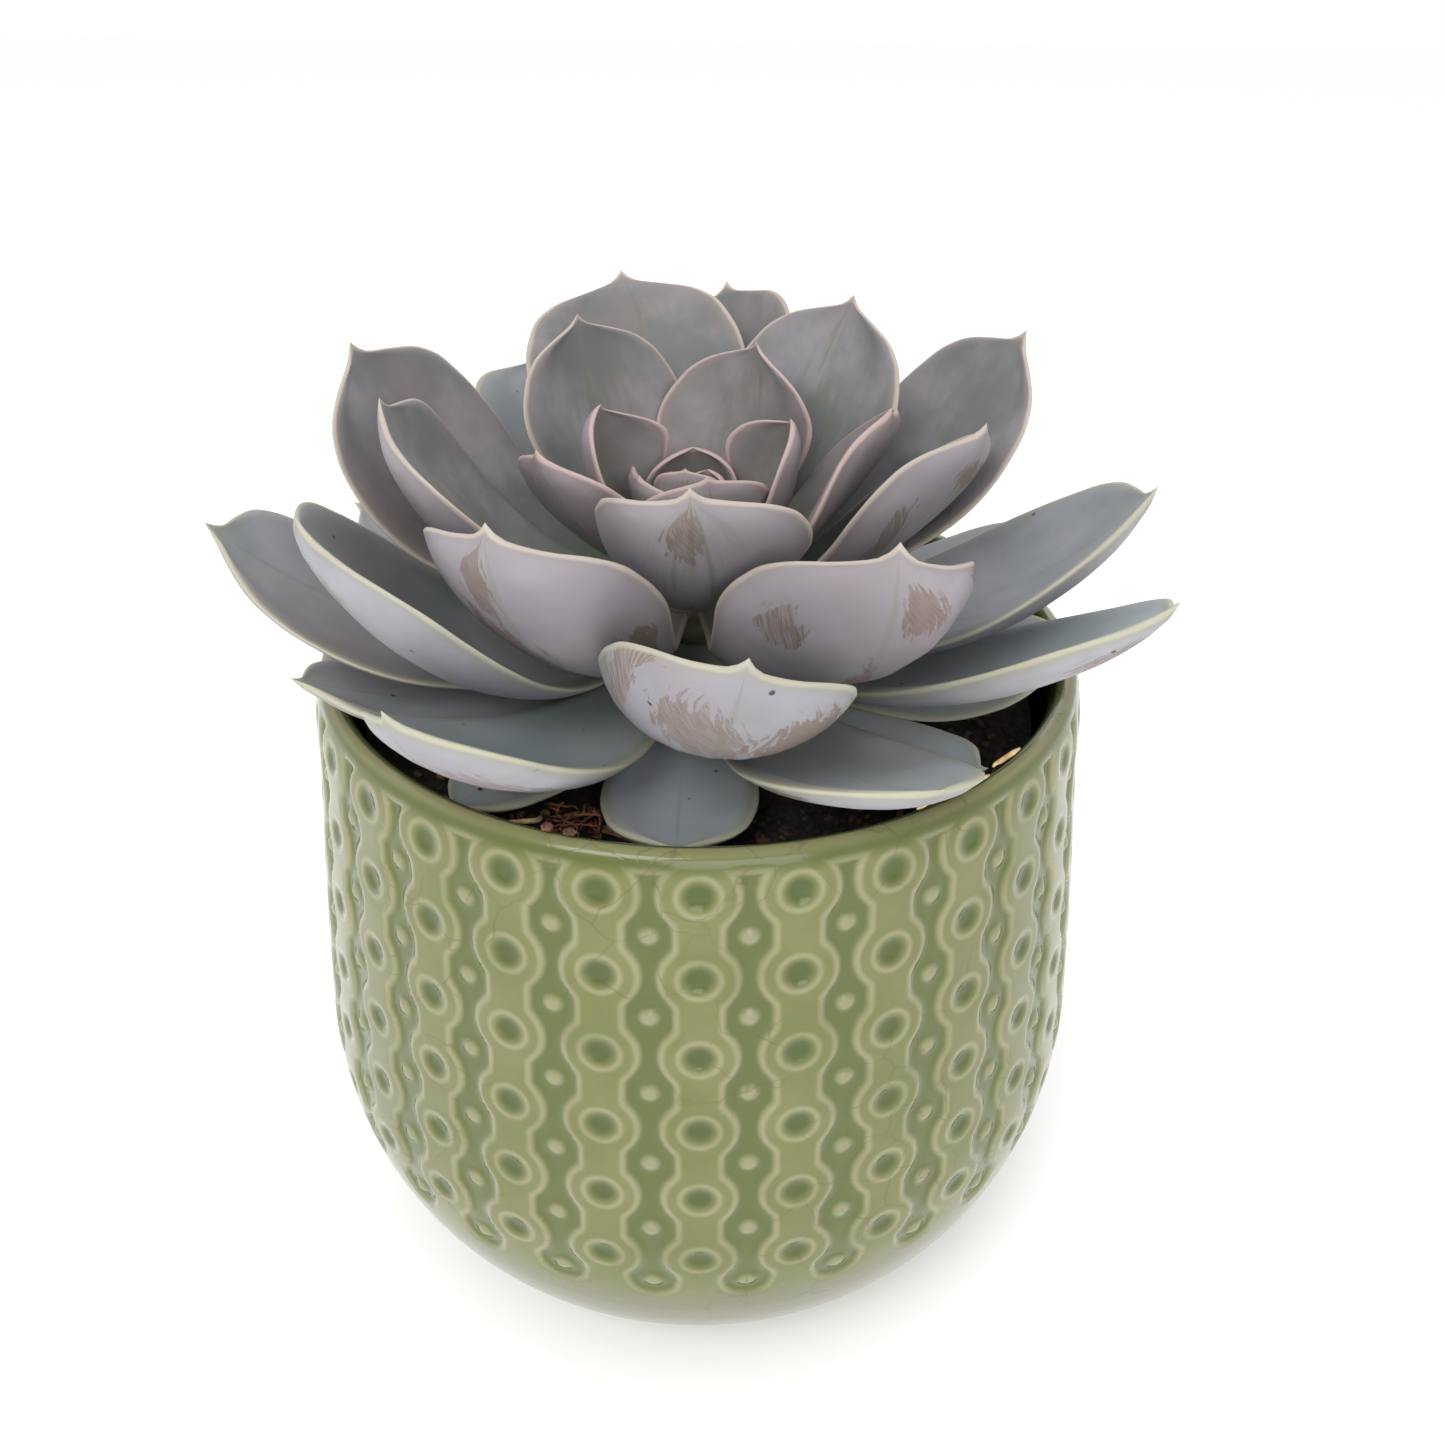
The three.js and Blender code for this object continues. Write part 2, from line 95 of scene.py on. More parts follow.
def calc(tree, operation, *values, clamp=False):
    node = tree.nodes.new("ShaderNodeMath")
    node.operation = operation
    node.use_clamp = clamp
    for value, socket in zip(values, node.inputs):
        wire(tree, value, socket)
    return node.outputs[0]


def ramp(tree, value, low, high, to_low=0.0, to_high=1.0):
    """A soft step: value from low to high becomes to_low to to_high."""
    node = tree.nodes.new("ShaderNodeMapRange")
    node.interpolation_type = "SMOOTHSTEP"
    for name, number in zip(("Value", "From Min", "From Max", "To Min", "To Max"),
                            (value, low, high, to_low, to_high)):
        wire(tree, number, node.inputs[name])
    return node.outputs[0]


def blend(tree, amount, first, second, mode="MIX"):
    """Mixes two colours. Colours are written as (red, green, blue)."""
    node = tree.nodes.new("ShaderNodeMix")
    node.data_type = "RGBA"
    node.blend_type = mode
    wire(tree, amount, node.inputs[0])
    for value, socket in ((first, node.inputs[6]), (second, node.inputs[7])):
        wire(tree, (*value, 1) if isinstance(value, tuple) else value, socket)
    return node.outputs[2]


def clouds(tree, scale, detail=3.0, rough=0.5, place=None, distort=0.0):
    node = tree.nodes.new("ShaderNodeTexNoise")
    wire(tree, place, node.inputs["Vector"])
    wire(tree, scale, node.inputs["Scale"])
    node.inputs["Detail"].default_value = detail
    node.inputs["Roughness"].default_value = rough
    node.inputs["Distortion"].default_value = distort
    return node.outputs["Fac"]


def attribute(tree, name):
    node = tree.nodes.new("ShaderNodeAttribute")
    node.attribute_name = name
    return node.outputs


def object_place(tree):
    return tree.nodes.new("ShaderNodeTexCoord").outputs["Object"]


def bump(tree, height, distance, strength=1.0):
    node = tree.nodes.new("ShaderNodeBump")
    node.inputs["Distance"].default_value = distance
    node.inputs["Strength"].default_value = strength
    wire(tree, height, node.inputs["Height"])
    return node.outputs["Normal"]


def new_material(name, roughness=0.5):
    """A material with one Principled shader, and its tree for the colour nodes."""
    material = bpy.data.materials.new(name)
    material.use_nodes = True
    tree = material.node_tree
    shader = tree.nodes["Principled BSDF"]
    shader.inputs["Roughness"].default_value = roughness
    return material, tree, shader


def new_group(name, inputs, outputs):
    """A shared effect. Inputs are {name: (kind, default)} and outputs are {name: kind}."""
    tree = bpy.data.node_groups.new(name, "ShaderNodeTree")
    for title, (kind, default) in inputs.items():
        socket = tree.interface.new_socket(title, in_out="INPUT", socket_type=kind)
        socket.default_value = default
    for title, kind in outputs.items():
        tree.interface.new_socket(title, in_out="OUTPUT", socket_type=kind)
    return tree, tree.nodes.new("NodeGroupInput").outputs, tree.nodes.new("NodeGroupOutput").inputs


def place_group(tree, group, **values):
    node = tree.nodes.new("ShaderNodeGroup")
    node.node_tree = group
    for title, value in values.items():
        wire(tree, value, node.inputs[title.replace("_", " ")])
    return node.outputs

# %% [markdown]
# ## Helpers for pieces
# Each piece ends the same way: its edit mesh becomes an object at the origin, it rides on the
# object's one body, it takes its finish, and the solid that it stands for is hidden.

# %% Piece helpers
def finish_piece(name, mesh_in_work, material, slot, *nodes, smooth=True):
    bmesh.ops.recalc_face_normals(mesh_in_work, faces=mesh_in_work.faces)
    for face in mesh_in_work.faces:
        face.smooth = smooth
    mesh = bpy.data.meshes.new(name)
    mesh_in_work.to_mesh(mesh)
    mesh_in_work.free()
    piece = bpy.data.objects.new(name, mesh)
    bpy.context.scene.collection.objects.link(piece)
    for one in material if isinstance(material, (list, tuple)) else [material]:
        mesh.materials.append(one)
    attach(piece, "root")
    if nodes:
        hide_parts(*nodes)
    return piece


def merged_copy(node):
    """An edit mesh of a solid, with the corners that its triangles share merged."""
    copy = bmesh.new()
    copy.from_mesh(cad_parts[node].data)
    bmesh.ops.remove_doubles(copy, verts=copy.verts, dist=0.02 * MM)
    return copy


def slope(before, middle, after, gap_before, gap_after):
    """The slope of a smooth curve at its middle point, whatever the gaps to its neighbours."""
    if gap_before + gap_after == 0:
        return middle * 0
    back = (middle - before) / gap_before if gap_before else middle * 0
    ahead = (after - middle) / gap_after if gap_after else middle * 0
    return (back * gap_after + ahead * gap_before) / (gap_before + gap_after)


def smooth_between(points, gaps, share):
    """A point on a smooth curve through four points, at a share of the way from the second to
    the third. The gaps are the three distances between them."""
    before, start, end, after = points
    leave = slope(before, start, end, gaps[0], gaps[1]) * gaps[1]
    arrive = slope(start, end, after, gaps[1], gaps[2]) * gaps[1]
    square, cube = share ** 2, share ** 3
    return (start * (2 * cube - 3 * square + 1) + leave * (cube - 2 * square + share)
            + end * (3 * square - 2 * cube) + arrive * (cube - square))

# %% [markdown]
# ## The planter's outline
# The planter is a turned wall, so its whole shape is one outline. It is read off the solid: the
# corners that lie in one upright plane, followed from the foot over the rim to the floor
# inside. The finer wall is then turned from the same outline, smoothed between its corners.

# %% Read the outline
def follow_outline(pot):
    """The outline's (radius, height) corners, from the foot's edge to the floor's centre."""
    low = min(vertex.co.z for vertex in pot.verts)
    foot = [v for v in pot.verts if abs(v.co.z - low) < 0.01 * MM]
    start = max(foot, key=lambda v: (round(math.hypot(v.co.x, v.co.y), 5), v.co.x))
    heading = math.atan2(start.co.y, start.co.x)
    outline, seen, here = [], set(), start
    while here:
        seen.add(here)
        outline.append((math.hypot(here.co.x, here.co.y), here.co.z))
        ahead = []
        for edge in here.link_edges:
            other = edge.other_vert(here)
            radius = math.hypot(other.co.x, other.co.y)
            swing = math.remainder(math.atan2(other.co.y, other.co.x) - heading, math.tau)
            if other not in seen and radius > 0.1 * MM and abs(swing) < 0.001:
                ahead.append(other)
        here = max(ahead, key=lambda v: v.co.z if len(outline) == 1 else 0) if ahead else None
    return outline


solid_pot = merged_copy("pot")
outline = follow_outline(solid_pot)
solid_pot.free()
if outline[1][1] < 0.01 * MM:
    outline = outline[:1] + outline[2:]
POT_HEIGHT = max(height for _, height in outline)
rim_step = max(range(len(outline)), key=lambda i: outline[i][1])
FOOT_RADIUS = outline[0][0]
FLOOR_HEIGHT = outline[-1][1]
print("outline corners:", len(outline), "rim at corner", rim_step, "height", POT_HEIGHT)

# %% [markdown]
# ## The relief
# The wall carries upright chains of rings. Between two chains runs a sunken channel with a
# small bead beside each neck, and each ring has a dimple in its middle. One rule gives how far
# any spot lies from a chain's edge, and everything follows from that distance: how deep the
# wall is pressed in, where the glaze pools dark and where it breaks pale over an edge.

# %% Relief sizes, in mm
CHAINS = 30
CHAIN_TURN = 0.46
FIRST_RING = 7.2
RING_PITCH = 13.85
RINGS = 6
RING_RADIUS = 5.4
NECK_HALF_WIDTH = 3.1
DIMPLE_RADIUS = 2.2
BEAD_RADIUS = 1.55
POCKET_RADIUS = 4.3
PLAIN_BAND = 3.4
EDGE_SOFTNESS = 1.25
CHANNEL_DEPTH, DIMPLE_DEPTH, BEAD_HEIGHT = 0.75, 0.6, 0.7
BLEND_WIDTH = 1.3
print("chains:", CHAINS, "with", RINGS, "rings each")


def soft_step(value, low, high):
    share = min(1.0, max(0.0, (value - low) / (high - low)))
    return share * share * (3 - 2 * share)


def soft_minimum(first, second, width):
    overlap = max(width - abs(first - second), 0.0) / width
    return min(first, second) - overlap * overlap * width / 4


def relief(x, y, below_rim):
    """How far the wall is pressed in, in mm, at a place on the planter given in mm."""
    radius = math.hypot(x, y)
    chain = (math.degrees(math.atan2(x, -y)) - CHAIN_TURN) * CHAINS / 360
    pitch = math.tau * radius / CHAINS
    across = abs(chain - round(chain)) * pitch
    ring = (below_rim - FIRST_RING) / RING_PITCH
    along = below_rim - FIRST_RING - RING_PITCH * min(max(round(ring), 0), RINGS - 1)
    bead = FIRST_RING + RING_PITCH * (min(max(round(ring - 0.5), 0), RINGS - 1) + 0.5)
    from_ring = math.hypot(across, along)
    from_bead = math.hypot(pitch / 2 - across, below_rim - bead)
    off_chain = soft_minimum(from_ring - RING_RADIUS, across - NECK_HALF_WIDTH, BLEND_WIDTH)
    last_bead = FIRST_RING + RING_PITCH * (RINGS - 0.5)
    in_pocket = POCKET_RADIUS - from_bead if below_rim > last_bead else RING_PITCH
    sunk = min(off_chain, below_rim - PLAIN_BAND, in_pocket)
    depth = CHANNEL_DEPTH * soft_step(sunk, 0, EDGE_SOFTNESS)
    depth += DIMPLE_DEPTH * (1 - soft_step(from_ring, DIMPLE_RADIUS - 1.2, DIMPLE_RADIUS + 0.7))
    depth -= BEAD_HEIGHT * (1 - soft_step(from_bead, BEAD_RADIUS - 1.2, BEAD_RADIUS + 0.5))
    return depth

# %% [markdown]
# ## Turning the wall
# The outline is smoothed into many small steps, closest where the relief lies, and spun round
# the axis. Each point of the wall then moves inwards by the relief. The foot gets a shallow
# recess inside its ring, as thrown and cast planters have, so that it stands on the ring only.

# %% Turn the planter
TURN_STEPS = 600
RELIEF_STEP = 0.72 * MM
PLAIN_STEP = 2.6 * MM
FOOT_RING = 5 * MM
FOOT_RECESS = 1.5 * MM


def smooth_outline(corners):
    """Points along the outline, closely spaced on the outside and wider on the inside."""
    corners = [Vector(corner) for corner in corners]
    last = len(corners) - 1
    points = []
    for i in range(last):
        four = [corners[max(i - 1, 0)], corners[i], corners[i + 1], corners[min(i + 2, last)]]
        gaps = [(b - a).length for a, b in zip(four, four[1:])]
        outside = i < rim_step and four[1].y > 0.22 * POT_HEIGHT
        near_rim = abs(i - rim_step) < 4
        step = RELIEF_STEP if outside or near_rim else PLAIN_STEP
        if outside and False:
            step *= 2
        count = max(1, round(gaps[1] / step))
        for j in range(count):
            points.append(smooth_between(four, gaps, j / count))
    points.append(corners[-1])
    return points


def turn_planter():
    wall = bmesh.new()
    foot = [(0, FOOT_RECESS), (FOOT_RADIUS - FOOT_RING - MM, FOOT_RECESS),
            (FOOT_RADIUS - FOOT_RING, 0.3 * MM), (FOOT_RADIUS - FOOT_RING + 0.6 * MM, 0)]
    profile = [Vector(pair) for pair in foot] + smooth_outline(outline)
    profile.append(Vector((0, FLOOR_HEIGHT)))
    crest = max(range(len(profile)), key=lambda i: profile[i].y)
    run = [0.0] * len(profile)
    for i in range(crest - 1, -1, -1):
        run[i] = run[i + 1] + (profile[i + 1] - profile[i]).length
    below_rim = wall.verts.layers.float.new("below_rim")
    corners = []
    for i, point in enumerate(profile):
        corner = wall.verts.new((point.x, 0, point.y))
        corner[below_rim] = run[i] / MM if 4 <= i <= crest else -1.0
        corners.append(corner)
    edges = [wall.edges.new(pair) for pair in zip(corners, corners[1:])]
    bmesh.ops.spin(wall, geom=corners + edges, cent=(0, 0, 0), axis=(0, 0, 1),
                   angle=math.tau, steps=TURN_STEPS, use_merge=True)
    bmesh.ops.remove_doubles(wall, verts=wall.verts, dist=0.01 * MM)
    bmesh.ops.recalc_face_normals(wall, faces=wall.faces)
    wall.normal_update()
    moves = []
    for corner in wall.verts:
        if corner[below_rim] > PLAIN_BAND:
            x, y, _ = corner.co / MM
            moves.append((corner, -corner.normal * relief(x, y, corner[below_rim]) * MM))
    for corner, move in moves:
        corner.co += move
    return wall


planter_mesh = turn_planter()
print("planter faces:", len(planter_mesh.faces))

# %% [markdown]
# ## Crackle glaze
# The glaze is a coloured glass. It pools dark green in the sunken parts and runs thin and pale
# off every raised edge, so the relief's own rule drives the colour. A fine net of craze lines
# and a faint mottle lie over it, the belly below the relief is greyer, and the bare foot ring
# is pale clay. The gloss comes from the shader's low roughness and a clear coat, and the pale
# line along the rim's crest is partly thin glaze and partly a painted highlight.

# %% Relief as a shader group
def chain_masks():
    """Masks of the relief on the surface, and how far the spot lies below the rim in mm."""
    tree, _, out = new_group("ring_chain_masks", {}, {
        "Sunk": "NodeSocketFloat", "Edge": "NodeSocketFloat", "Dimple": "NodeSocketFloat",
        "Bead": "NodeSocketFloat", "Below rim": "NodeSocketFloat"})
    split = tree.nodes.new("ShaderNodeSeparateXYZ")
    wire(tree, object_place(tree), split.inputs[0])
    x, y = split.outputs[0], split.outputs[1]
    minus_y = calc(tree, "MULTIPLY", y, -1.0)
    radius = calc(tree, "SQRT", calc(tree, "ADD", calc(tree, "MULTIPLY", x, x),
                                     calc(tree, "MULTIPLY", y, y)))
    angle = calc(tree, "ARCTAN2", x, minus_y)
    chain = calc(tree, "MULTIPLY_ADD", angle, CHAINS / math.tau, -CHAIN_TURN * CHAINS / 360)
    off = calc(tree, "ABSOLUTE", calc(tree, "SUBTRACT", chain, calc(tree, "ROUND", chain)))
    pitch = calc(tree, "MULTIPLY", radius, math.tau / CHAINS / MM)
    across = calc(tree, "MULTIPLY", off, pitch)
    below = attribute(tree, "below_rim")["Fac"]
    ring = calc(tree, "DIVIDE", calc(tree, "SUBTRACT", below, FIRST_RING), RING_PITCH)

    def nearest(value):
        whole = calc(tree, "ROUND", value)
        return calc(tree, "MINIMUM", calc(tree, "MAXIMUM", whole, 0.0), RINGS - 1.0)

    def reach(side, length):
        return calc(tree, "SQRT", calc(tree, "ADD", calc(tree, "MULTIPLY", side, side),
                                       calc(tree, "MULTIPLY", length, length)))

    along = calc(tree, "MULTIPLY", calc(tree, "SUBTRACT", ring, nearest(ring)), RING_PITCH)
    from_ring = reach(across, along)
    half = calc(tree, "SUBTRACT", ring, 0.5)
    bead_along = calc(tree, "MULTIPLY", calc(tree, "SUBTRACT", half, nearest(half)), RING_PITCH)
    bead_across = calc(tree, "SUBTRACT", calc(tree, "MULTIPLY", pitch, 0.5), across)
    from_bead = reach(bead_across, bead_along)
    smooth = tree.nodes.new("ShaderNodeMath")
    smooth.operation = "SMOOTH_MIN"
    wire(tree, calc(tree, "SUBTRACT", from_ring, RING_RADIUS), smooth.inputs[0])
    wire(tree, calc(tree, "SUBTRACT", across, NECK_HALF_WIDTH), smooth.inputs[1])
    smooth.inputs[2].default_value = BLEND_WIDTH
    before_last = calc(tree, "LESS_THAN", below, FIRST_RING + RING_PITCH * (RINGS - 0.5))
    pocket = calc(tree, "SUBTRACT", POCKET_RADIUS, from_bead)
    pocket = calc(tree, "MULTIPLY_ADD", before_last, 2 * RING_PITCH, pocket)
    sunk = calc(tree, "MINIMUM", smooth.outputs[0], calc(tree, "SUBTRACT", below, PLAIN_BAND))
    sunk = calc(tree, "MINIMUM", sunk, pocket)
    rings_done = calc(tree, "MULTIPLY", ramp(tree, below, 1.5, 2.5),
                      ramp(tree, below, 80, 82, 1, 0))

    def line(value, middle, width):
        """One on a line, fading to nothing at its width on both sides."""
        gap = calc(tree, "ABSOLUTE", calc(tree, "SUBTRACT", value, middle))
        return ramp(tree, gap, 0.0, width, 1.0, 0.0)

    edge = calc(tree, "MAXIMUM", line(sunk, 0.12, 0.85),
                calc(tree, "MULTIPLY", line(from_ring, DIMPLE_RADIUS + 0.9, 0.8), rings_done))
    wire(tree, ramp(tree, sunk, 0.1, EDGE_SOFTNESS), out["Sunk"])
    wire(tree, edge, out["Edge"])
    dimple = ramp(tree, from_ring, DIMPLE_RADIUS - 0.9, DIMPLE_RADIUS + 0.5, 1, 0)
    wire(tree, calc(tree, "MULTIPLY", dimple, rings_done), out["Dimple"])
    bead = ramp(tree, from_bead, BEAD_RADIUS - 0.8, BEAD_RADIUS + 0.4, 1, 0)
    wire(tree, bead, out["Bead"])
    wire(tree, below, out["Below rim"])
    return tree


ring_chain_masks = chain_masks()
print("relief masks:", len(ring_chain_masks.nodes), "nodes")

# %% Glaze material
GLAZE_BODY = (0.122, 0.134, 0.036)
GLAZE_POOLED = (0.082, 0.102, 0.02)
GLAZE_DEEP = (0.056, 0.078, 0.011)
GLAZE_THIN = (0.24, 0.235, 0.125)
GLAZE_BELLY = (0.13, 0.126, 0.062)
GLAZE_INSIDE = (0.06, 0.085, 0.014)
CRAZE_STAIN = (0.085, 0.07, 0.03)
BELLY_FADE = (84, 93)  # mm below the rim
CRAZE_CELLS_PER_METRE = 105


def glaze_material():
    material, tree, shader = new_material("green_crackle_glaze", 0.16)
    shader.inputs["Coat Weight"].default_value = 0.12
    shader.inputs["Coat Roughness"].default_value = 0.06
    shader.inputs["Specular IOR Level"].default_value = 0.4
    masks = place_group(tree, ring_chain_masks)
    place = object_place(tree)
    below = masks["Below rim"]
    mottle = clouds(tree, 60, 4, 0.6, place)
    body = blend(tree, ramp(tree, mottle, 0.35, 0.7), GLAZE_BODY, (0.15, 0.156, 0.054))
    colour = blend(tree, masks["Sunk"], body, GLAZE_POOLED)
    colour = blend(tree, masks["Dimple"], colour, GLAZE_DEEP)
    pale = calc(tree, "MULTIPLY", masks["Edge"], ramp(tree, mottle, 0.25, 0.6, 0.45, 0.85))
    colour = blend(tree, pale, colour, GLAZE_THIN)
    colour = blend(tree, calc(tree, "MULTIPLY", masks["Bead"], 0.85), colour, GLAZE_THIN)
    lip = ramp(tree, below, -0.5, 2.6, 1.0, 0.0)
    rim_crest_thin_glaze_and_highlight = calc(tree, "MULTIPLY", lip, ramp(tree, below, -0.9, -0.2))
    band = ramp(tree, below, 2.4, 4.6, 0.7, 0.0)
    band = calc(tree, "MULTIPLY", band, ramp(tree, below, 0.5, 2))
    colour = blend(tree, band, colour, GLAZE_DEEP)
    # A pale line along the rim's crest: partly the glaze running thin over the edge, partly a painted
    # highlight.
    colour = blend(tree, calc(tree, "MULTIPLY", rim_crest_thin_glaze_and_highlight, 0.75), colour, GLAZE_THIN)
    belly = ramp(tree, below, *BELLY_FADE)
    colour = blend(tree, belly, colour, GLAZE_BELLY)
    inside = calc(tree, "LESS_THAN", below, -0.5)
    colour = blend(tree, calc(tree, "MULTIPLY", inside, 0.75), colour, GLAZE_INSIDE)
    crackle = tree.nodes.new("ShaderNodeTexVoronoi")
    crackle.feature = "DISTANCE_TO_EDGE"
    warped = tree.nodes.new("ShaderNodeVectorMath")
    warped.operation = "MULTIPLY_ADD"
    warp = tree.nodes.new("ShaderNodeTexNoise")
    warp.inputs["Scale"].default_value = 180
    wire(tree, place, warp.inputs["Vector"])
    wire(tree, warp.outputs["Color"], warped.inputs[0])
    warped.inputs[1].default_value = (4 * MM, 4 * MM, 4 * MM)
    wire(tree, place, warped.inputs[2])
    wire(tree, warped.outputs[0], crackle.inputs["Vector"])
    crackle.inputs["Scale"].default_value = CRAZE_CELLS_PER_METRE
    hairline = ramp(tree, crackle.outputs["Distance"], 0.0, 0.022, 1.0, 0.0)
    patchy = ramp(tree, clouds(tree, 35, 2, 0.5, place), 0.45, 0.62)
    craze = calc(tree, "MULTIPLY", hairline, calc(tree, "MULTIPLY", patchy, 0.42))
    colour = blend(tree, craze, colour, CRAZE_STAIN)
    wire(tree, colour, shader.inputs["Base Color"])
    wave = clouds(tree, 45, 2, 0.5, place)
    height = calc(tree, "MULTIPLY_ADD", craze, -0.25, wave)
    wire(tree, bump(tree, height, 0.35 * MM, 0.35), shader.inputs["Normal"])
    return material


def clay_material():
    material, tree, shader = new_material("bare_clay_foot", 0.8)
    place = object_place(tree)
    grain = clouds(tree, 900, 4, 0.7, place)
    wire(tree, blend(tree, grain, (0.50, 0.45, 0.36), (0.62, 0.57, 0.48)),
         shader.inputs["Base Color"])
    wire(tree, bump(tree, grain, 0.15 * MM, 0.5), shader.inputs["Normal"])
    return material


planter_glaze = glaze_material()
bare_clay = clay_material()
planter = finish_piece("planter", planter_mesh, [planter_glaze, bare_clay], "glaze", "pot")
on_ring = 0.45 * MM
for face in planter.data.polygons:
    if face.center.z < on_ring and face.center.xy.length > FOOT_RADIUS - FOOT_RING - MM:
        face.material_index = 1
print("planter box:", planter.dimensions[:])

# %% [markdown]
# ## Leaves from their sections
# Each solid leaf is a short stack of sections: one point at the tip, then rings of points back
# to the root. Counting steps away from the tip along the edges sorts the points into those
# rings. Each ring is put in order, starting at one margin and crossing the upper skin first.
# Smooth curves through the rings, both round them and along the leaf, then give the fine skin.

# %% Sort a leaf's points into rings
RING_POINTS = 11
UPPER_POINTS = 5


def rings_from_tip(leaf):
    """The rings from the tip to the root, each in order round the leaf, and the tip's place."""
    tip = max((v for v in leaf.verts if len(v.link_edges) == RING_POINTS),
              key=lambda v: v.co.xy.length + v.co.z)
    layers, seen, layer = [], {tip}, {tip}
    while layer:
        layer = {e.other_vert(v) for v in layer for e in v.link_edges} - seen
        seen |= layer
        if layer:
            layers.append(layer)
    first = walk_ring(layers[0])
    ways = [follow_rings(first, layers[1:], side) for side in (1, -1)]
    places = [[[v.co.copy() for v in ring] for ring in way] for way in ways]
    return start_at_margin(min(places, key=twist)), tip.co.copy()


def walk_ring(ring):
    here = min(ring, key=lambda v: v.index)
    order = [here]
    while len(order) < len(ring):
        here = next(o for o in (e.other_vert(here) for e in here.link_edges)
                    if o in ring and o not in order)
        order.append(here)
    return order


def follow_rings(first, layers, side):
    """Matches each ring to the last. A point meets two of the next ring, and shares the one
    that it leads to with its neighbour on one side."""
    ordered = [first]
    for layer in layers:
        links = [{e.other_vert(v) for e in v.link_edges} & layer for v in ordered[-1]]
        ordered.append([(links[i] & links[(i - side) % RING_POINTS]).pop()
                        for i in range(RING_POINTS)])
    return ordered


def twist(rings):
    """The total length of the lines from ring to ring. It's least where they run straight."""
    return sum((a - b).length for low, high in zip(rings, rings[1:]) for a, b in zip(low, high))


def start_at_margin(rings):
    """Turns every ring so that point 0 is one margin, 1 to 5 the upper skin, 6 the other."""
    def length(i):
        return sum((ring[i] - ring[(i + 1) % RING_POINTS]).length for ring in rings)
    # the longest side of a section crosses the middle of the underside
    under = max(range(RING_POINTS), key=length)
    first, second = under + 3, under - 2
    root, outer = (sum(ring, Vector()) / RING_POINTS for ring in (rings[-1], rings[2]))
    outward = outer - root
    aside = Vector((-outward.y, outward.x, 0))
    lean = sum((ring[second % RING_POINTS] - ring[first % RING_POINTS]).dot(aside)
               for ring in rings[2:])
    step = 1
    if lean < 0:
        first, step = second, -1
    return [[ring[(first + step * i) % RING_POINTS] for i in range(RING_POINTS)]
            for ring in rings]


def test_rings():
    leaf = merged_copy("leaf_29")
    rings, tip = rings_from_tip(leaf)
    leaf.free()
    print("rings of one leaf:", len(rings), "points each:", {len(ring) for ring in rings})


test_rings()

# %% Draw the fine skin
ROWS_PER_RING = 5
POINTS_PER_STEP = 4
ACROSS = (-1, -0.93, -0.5, 0, 0.5, 0.93, 1, 0.85, 0.4, -0.4, -0.85)


def smooth_ring(ring):
    """A closed smooth curve round one ring: each point with its place across, and how much it
    belongs to the underside."""
    points = []
    for i in range(RING_POINTS):
        four = [ring[(i + k) % RING_POINTS] for k in (-1, 0, 1, 2)]
        gaps = [(b - a).length for a, b in zip(four, four[1:])]
        for j in range(POINTS_PER_STEP):
            share = j / POINTS_PER_STEP
            side = ACROSS[i] + (ACROSS[(i + 1) % RING_POINTS] - ACROSS[i]) * share
            under = soft_step(i + share, UPPER_POINTS + 0.75, UPPER_POINTS + 1.5)
            under *= 1 - soft_step(i + share, RING_POINTS - 0.5, RING_POINTS)
            points.append((smooth_between(four, gaps, share), side, under))
    return points


def leaf_rows(rings, tip):
    """Rows of points from the root to the tip. The rings run from the tip, so they are turned."""
    stack = [smooth_ring(ring) for ring in reversed(rings)]
    stack.append([(tip, side, under) for _, side, under in stack[-1]])
    middles = [sum((point[0] for point in ring), Vector()) / len(ring) for ring in stack]
    lengths = [0.0]
    for start, end in zip(middles, middles[1:]):
        lengths.append(lengths[-1] + (end - start).length)
    last = len(stack) - 1
    rows = []
    for i in range(last):
        near = [max(i - 1, 0), i, i + 1, min(i + 2, last)]
        gaps = [lengths[b] - lengths[a] for a, b in zip(near, near[1:])]
        steps = ROWS_PER_RING if i < 6 else max(2, ROWS_PER_RING - 2)
        for j in range(steps):
            share = j / steps
            row = []
            for k, (_, side, under) in enumerate(stack[i]):
                four = [stack[n][k][0] for n in near]
                row.append((smooth_between(four, gaps, share), side, under))
            along = (lengths[i] + gaps[1] * share) / lengths[-1]
            rows.append((along, row))
    return rows


def draw_leaf(node):
    """The fine skin of one leaf, with its own places stored on its points. A flat grid is laid
    on the rows, then its two long sides are joined, its tip drawn together, its root closed."""
    solid = merged_copy(node)
    rings, tip = rings_from_tip(solid)
    solid.free()
    rows = leaf_rows(rings, tip)
    around = len(rows[0][1])
    rows.append((1.0, [(tip, side, under) for _, side, under in rows[-1][1]]))
    skin = bmesh.new()
    map_layer = skin.verts.layers.float_color.new("leaf_map")
    edge_layer = skin.verts.layers.float.new("from_margin")
    bmesh.ops.create_grid(skin, x_segments=around, y_segments=len(rows) - 1, size=1)
    corners = sorted(skin.verts, key=lambda v: (round(v.co.y, 5), round(v.co.x, 5)))
    for i, (along, row) in enumerate(rows):
        margins = [row[0][0], row[(UPPER_POINTS + 1) * POINTS_PER_STEP][0]]
        for j, corner in enumerate(corners[i * (around + 1):(i + 1) * (around + 1)]):
            spot, side, under = row[j % around]
            corner.co = spot
            corner[map_layer] = (along, side / 2 + 0.5, under, 1)
            gap = min((spot - margin).length for margin in margins)
            corner[edge_layer] = min(gap, (spot - tip).length) / MM
    bmesh.ops.remove_doubles(skin, verts=skin.verts, dist=0.001 * MM)
    bmesh.ops.holes_fill(skin, edges=[edge for edge in skin.edges if edge.is_boundary])
    return skin
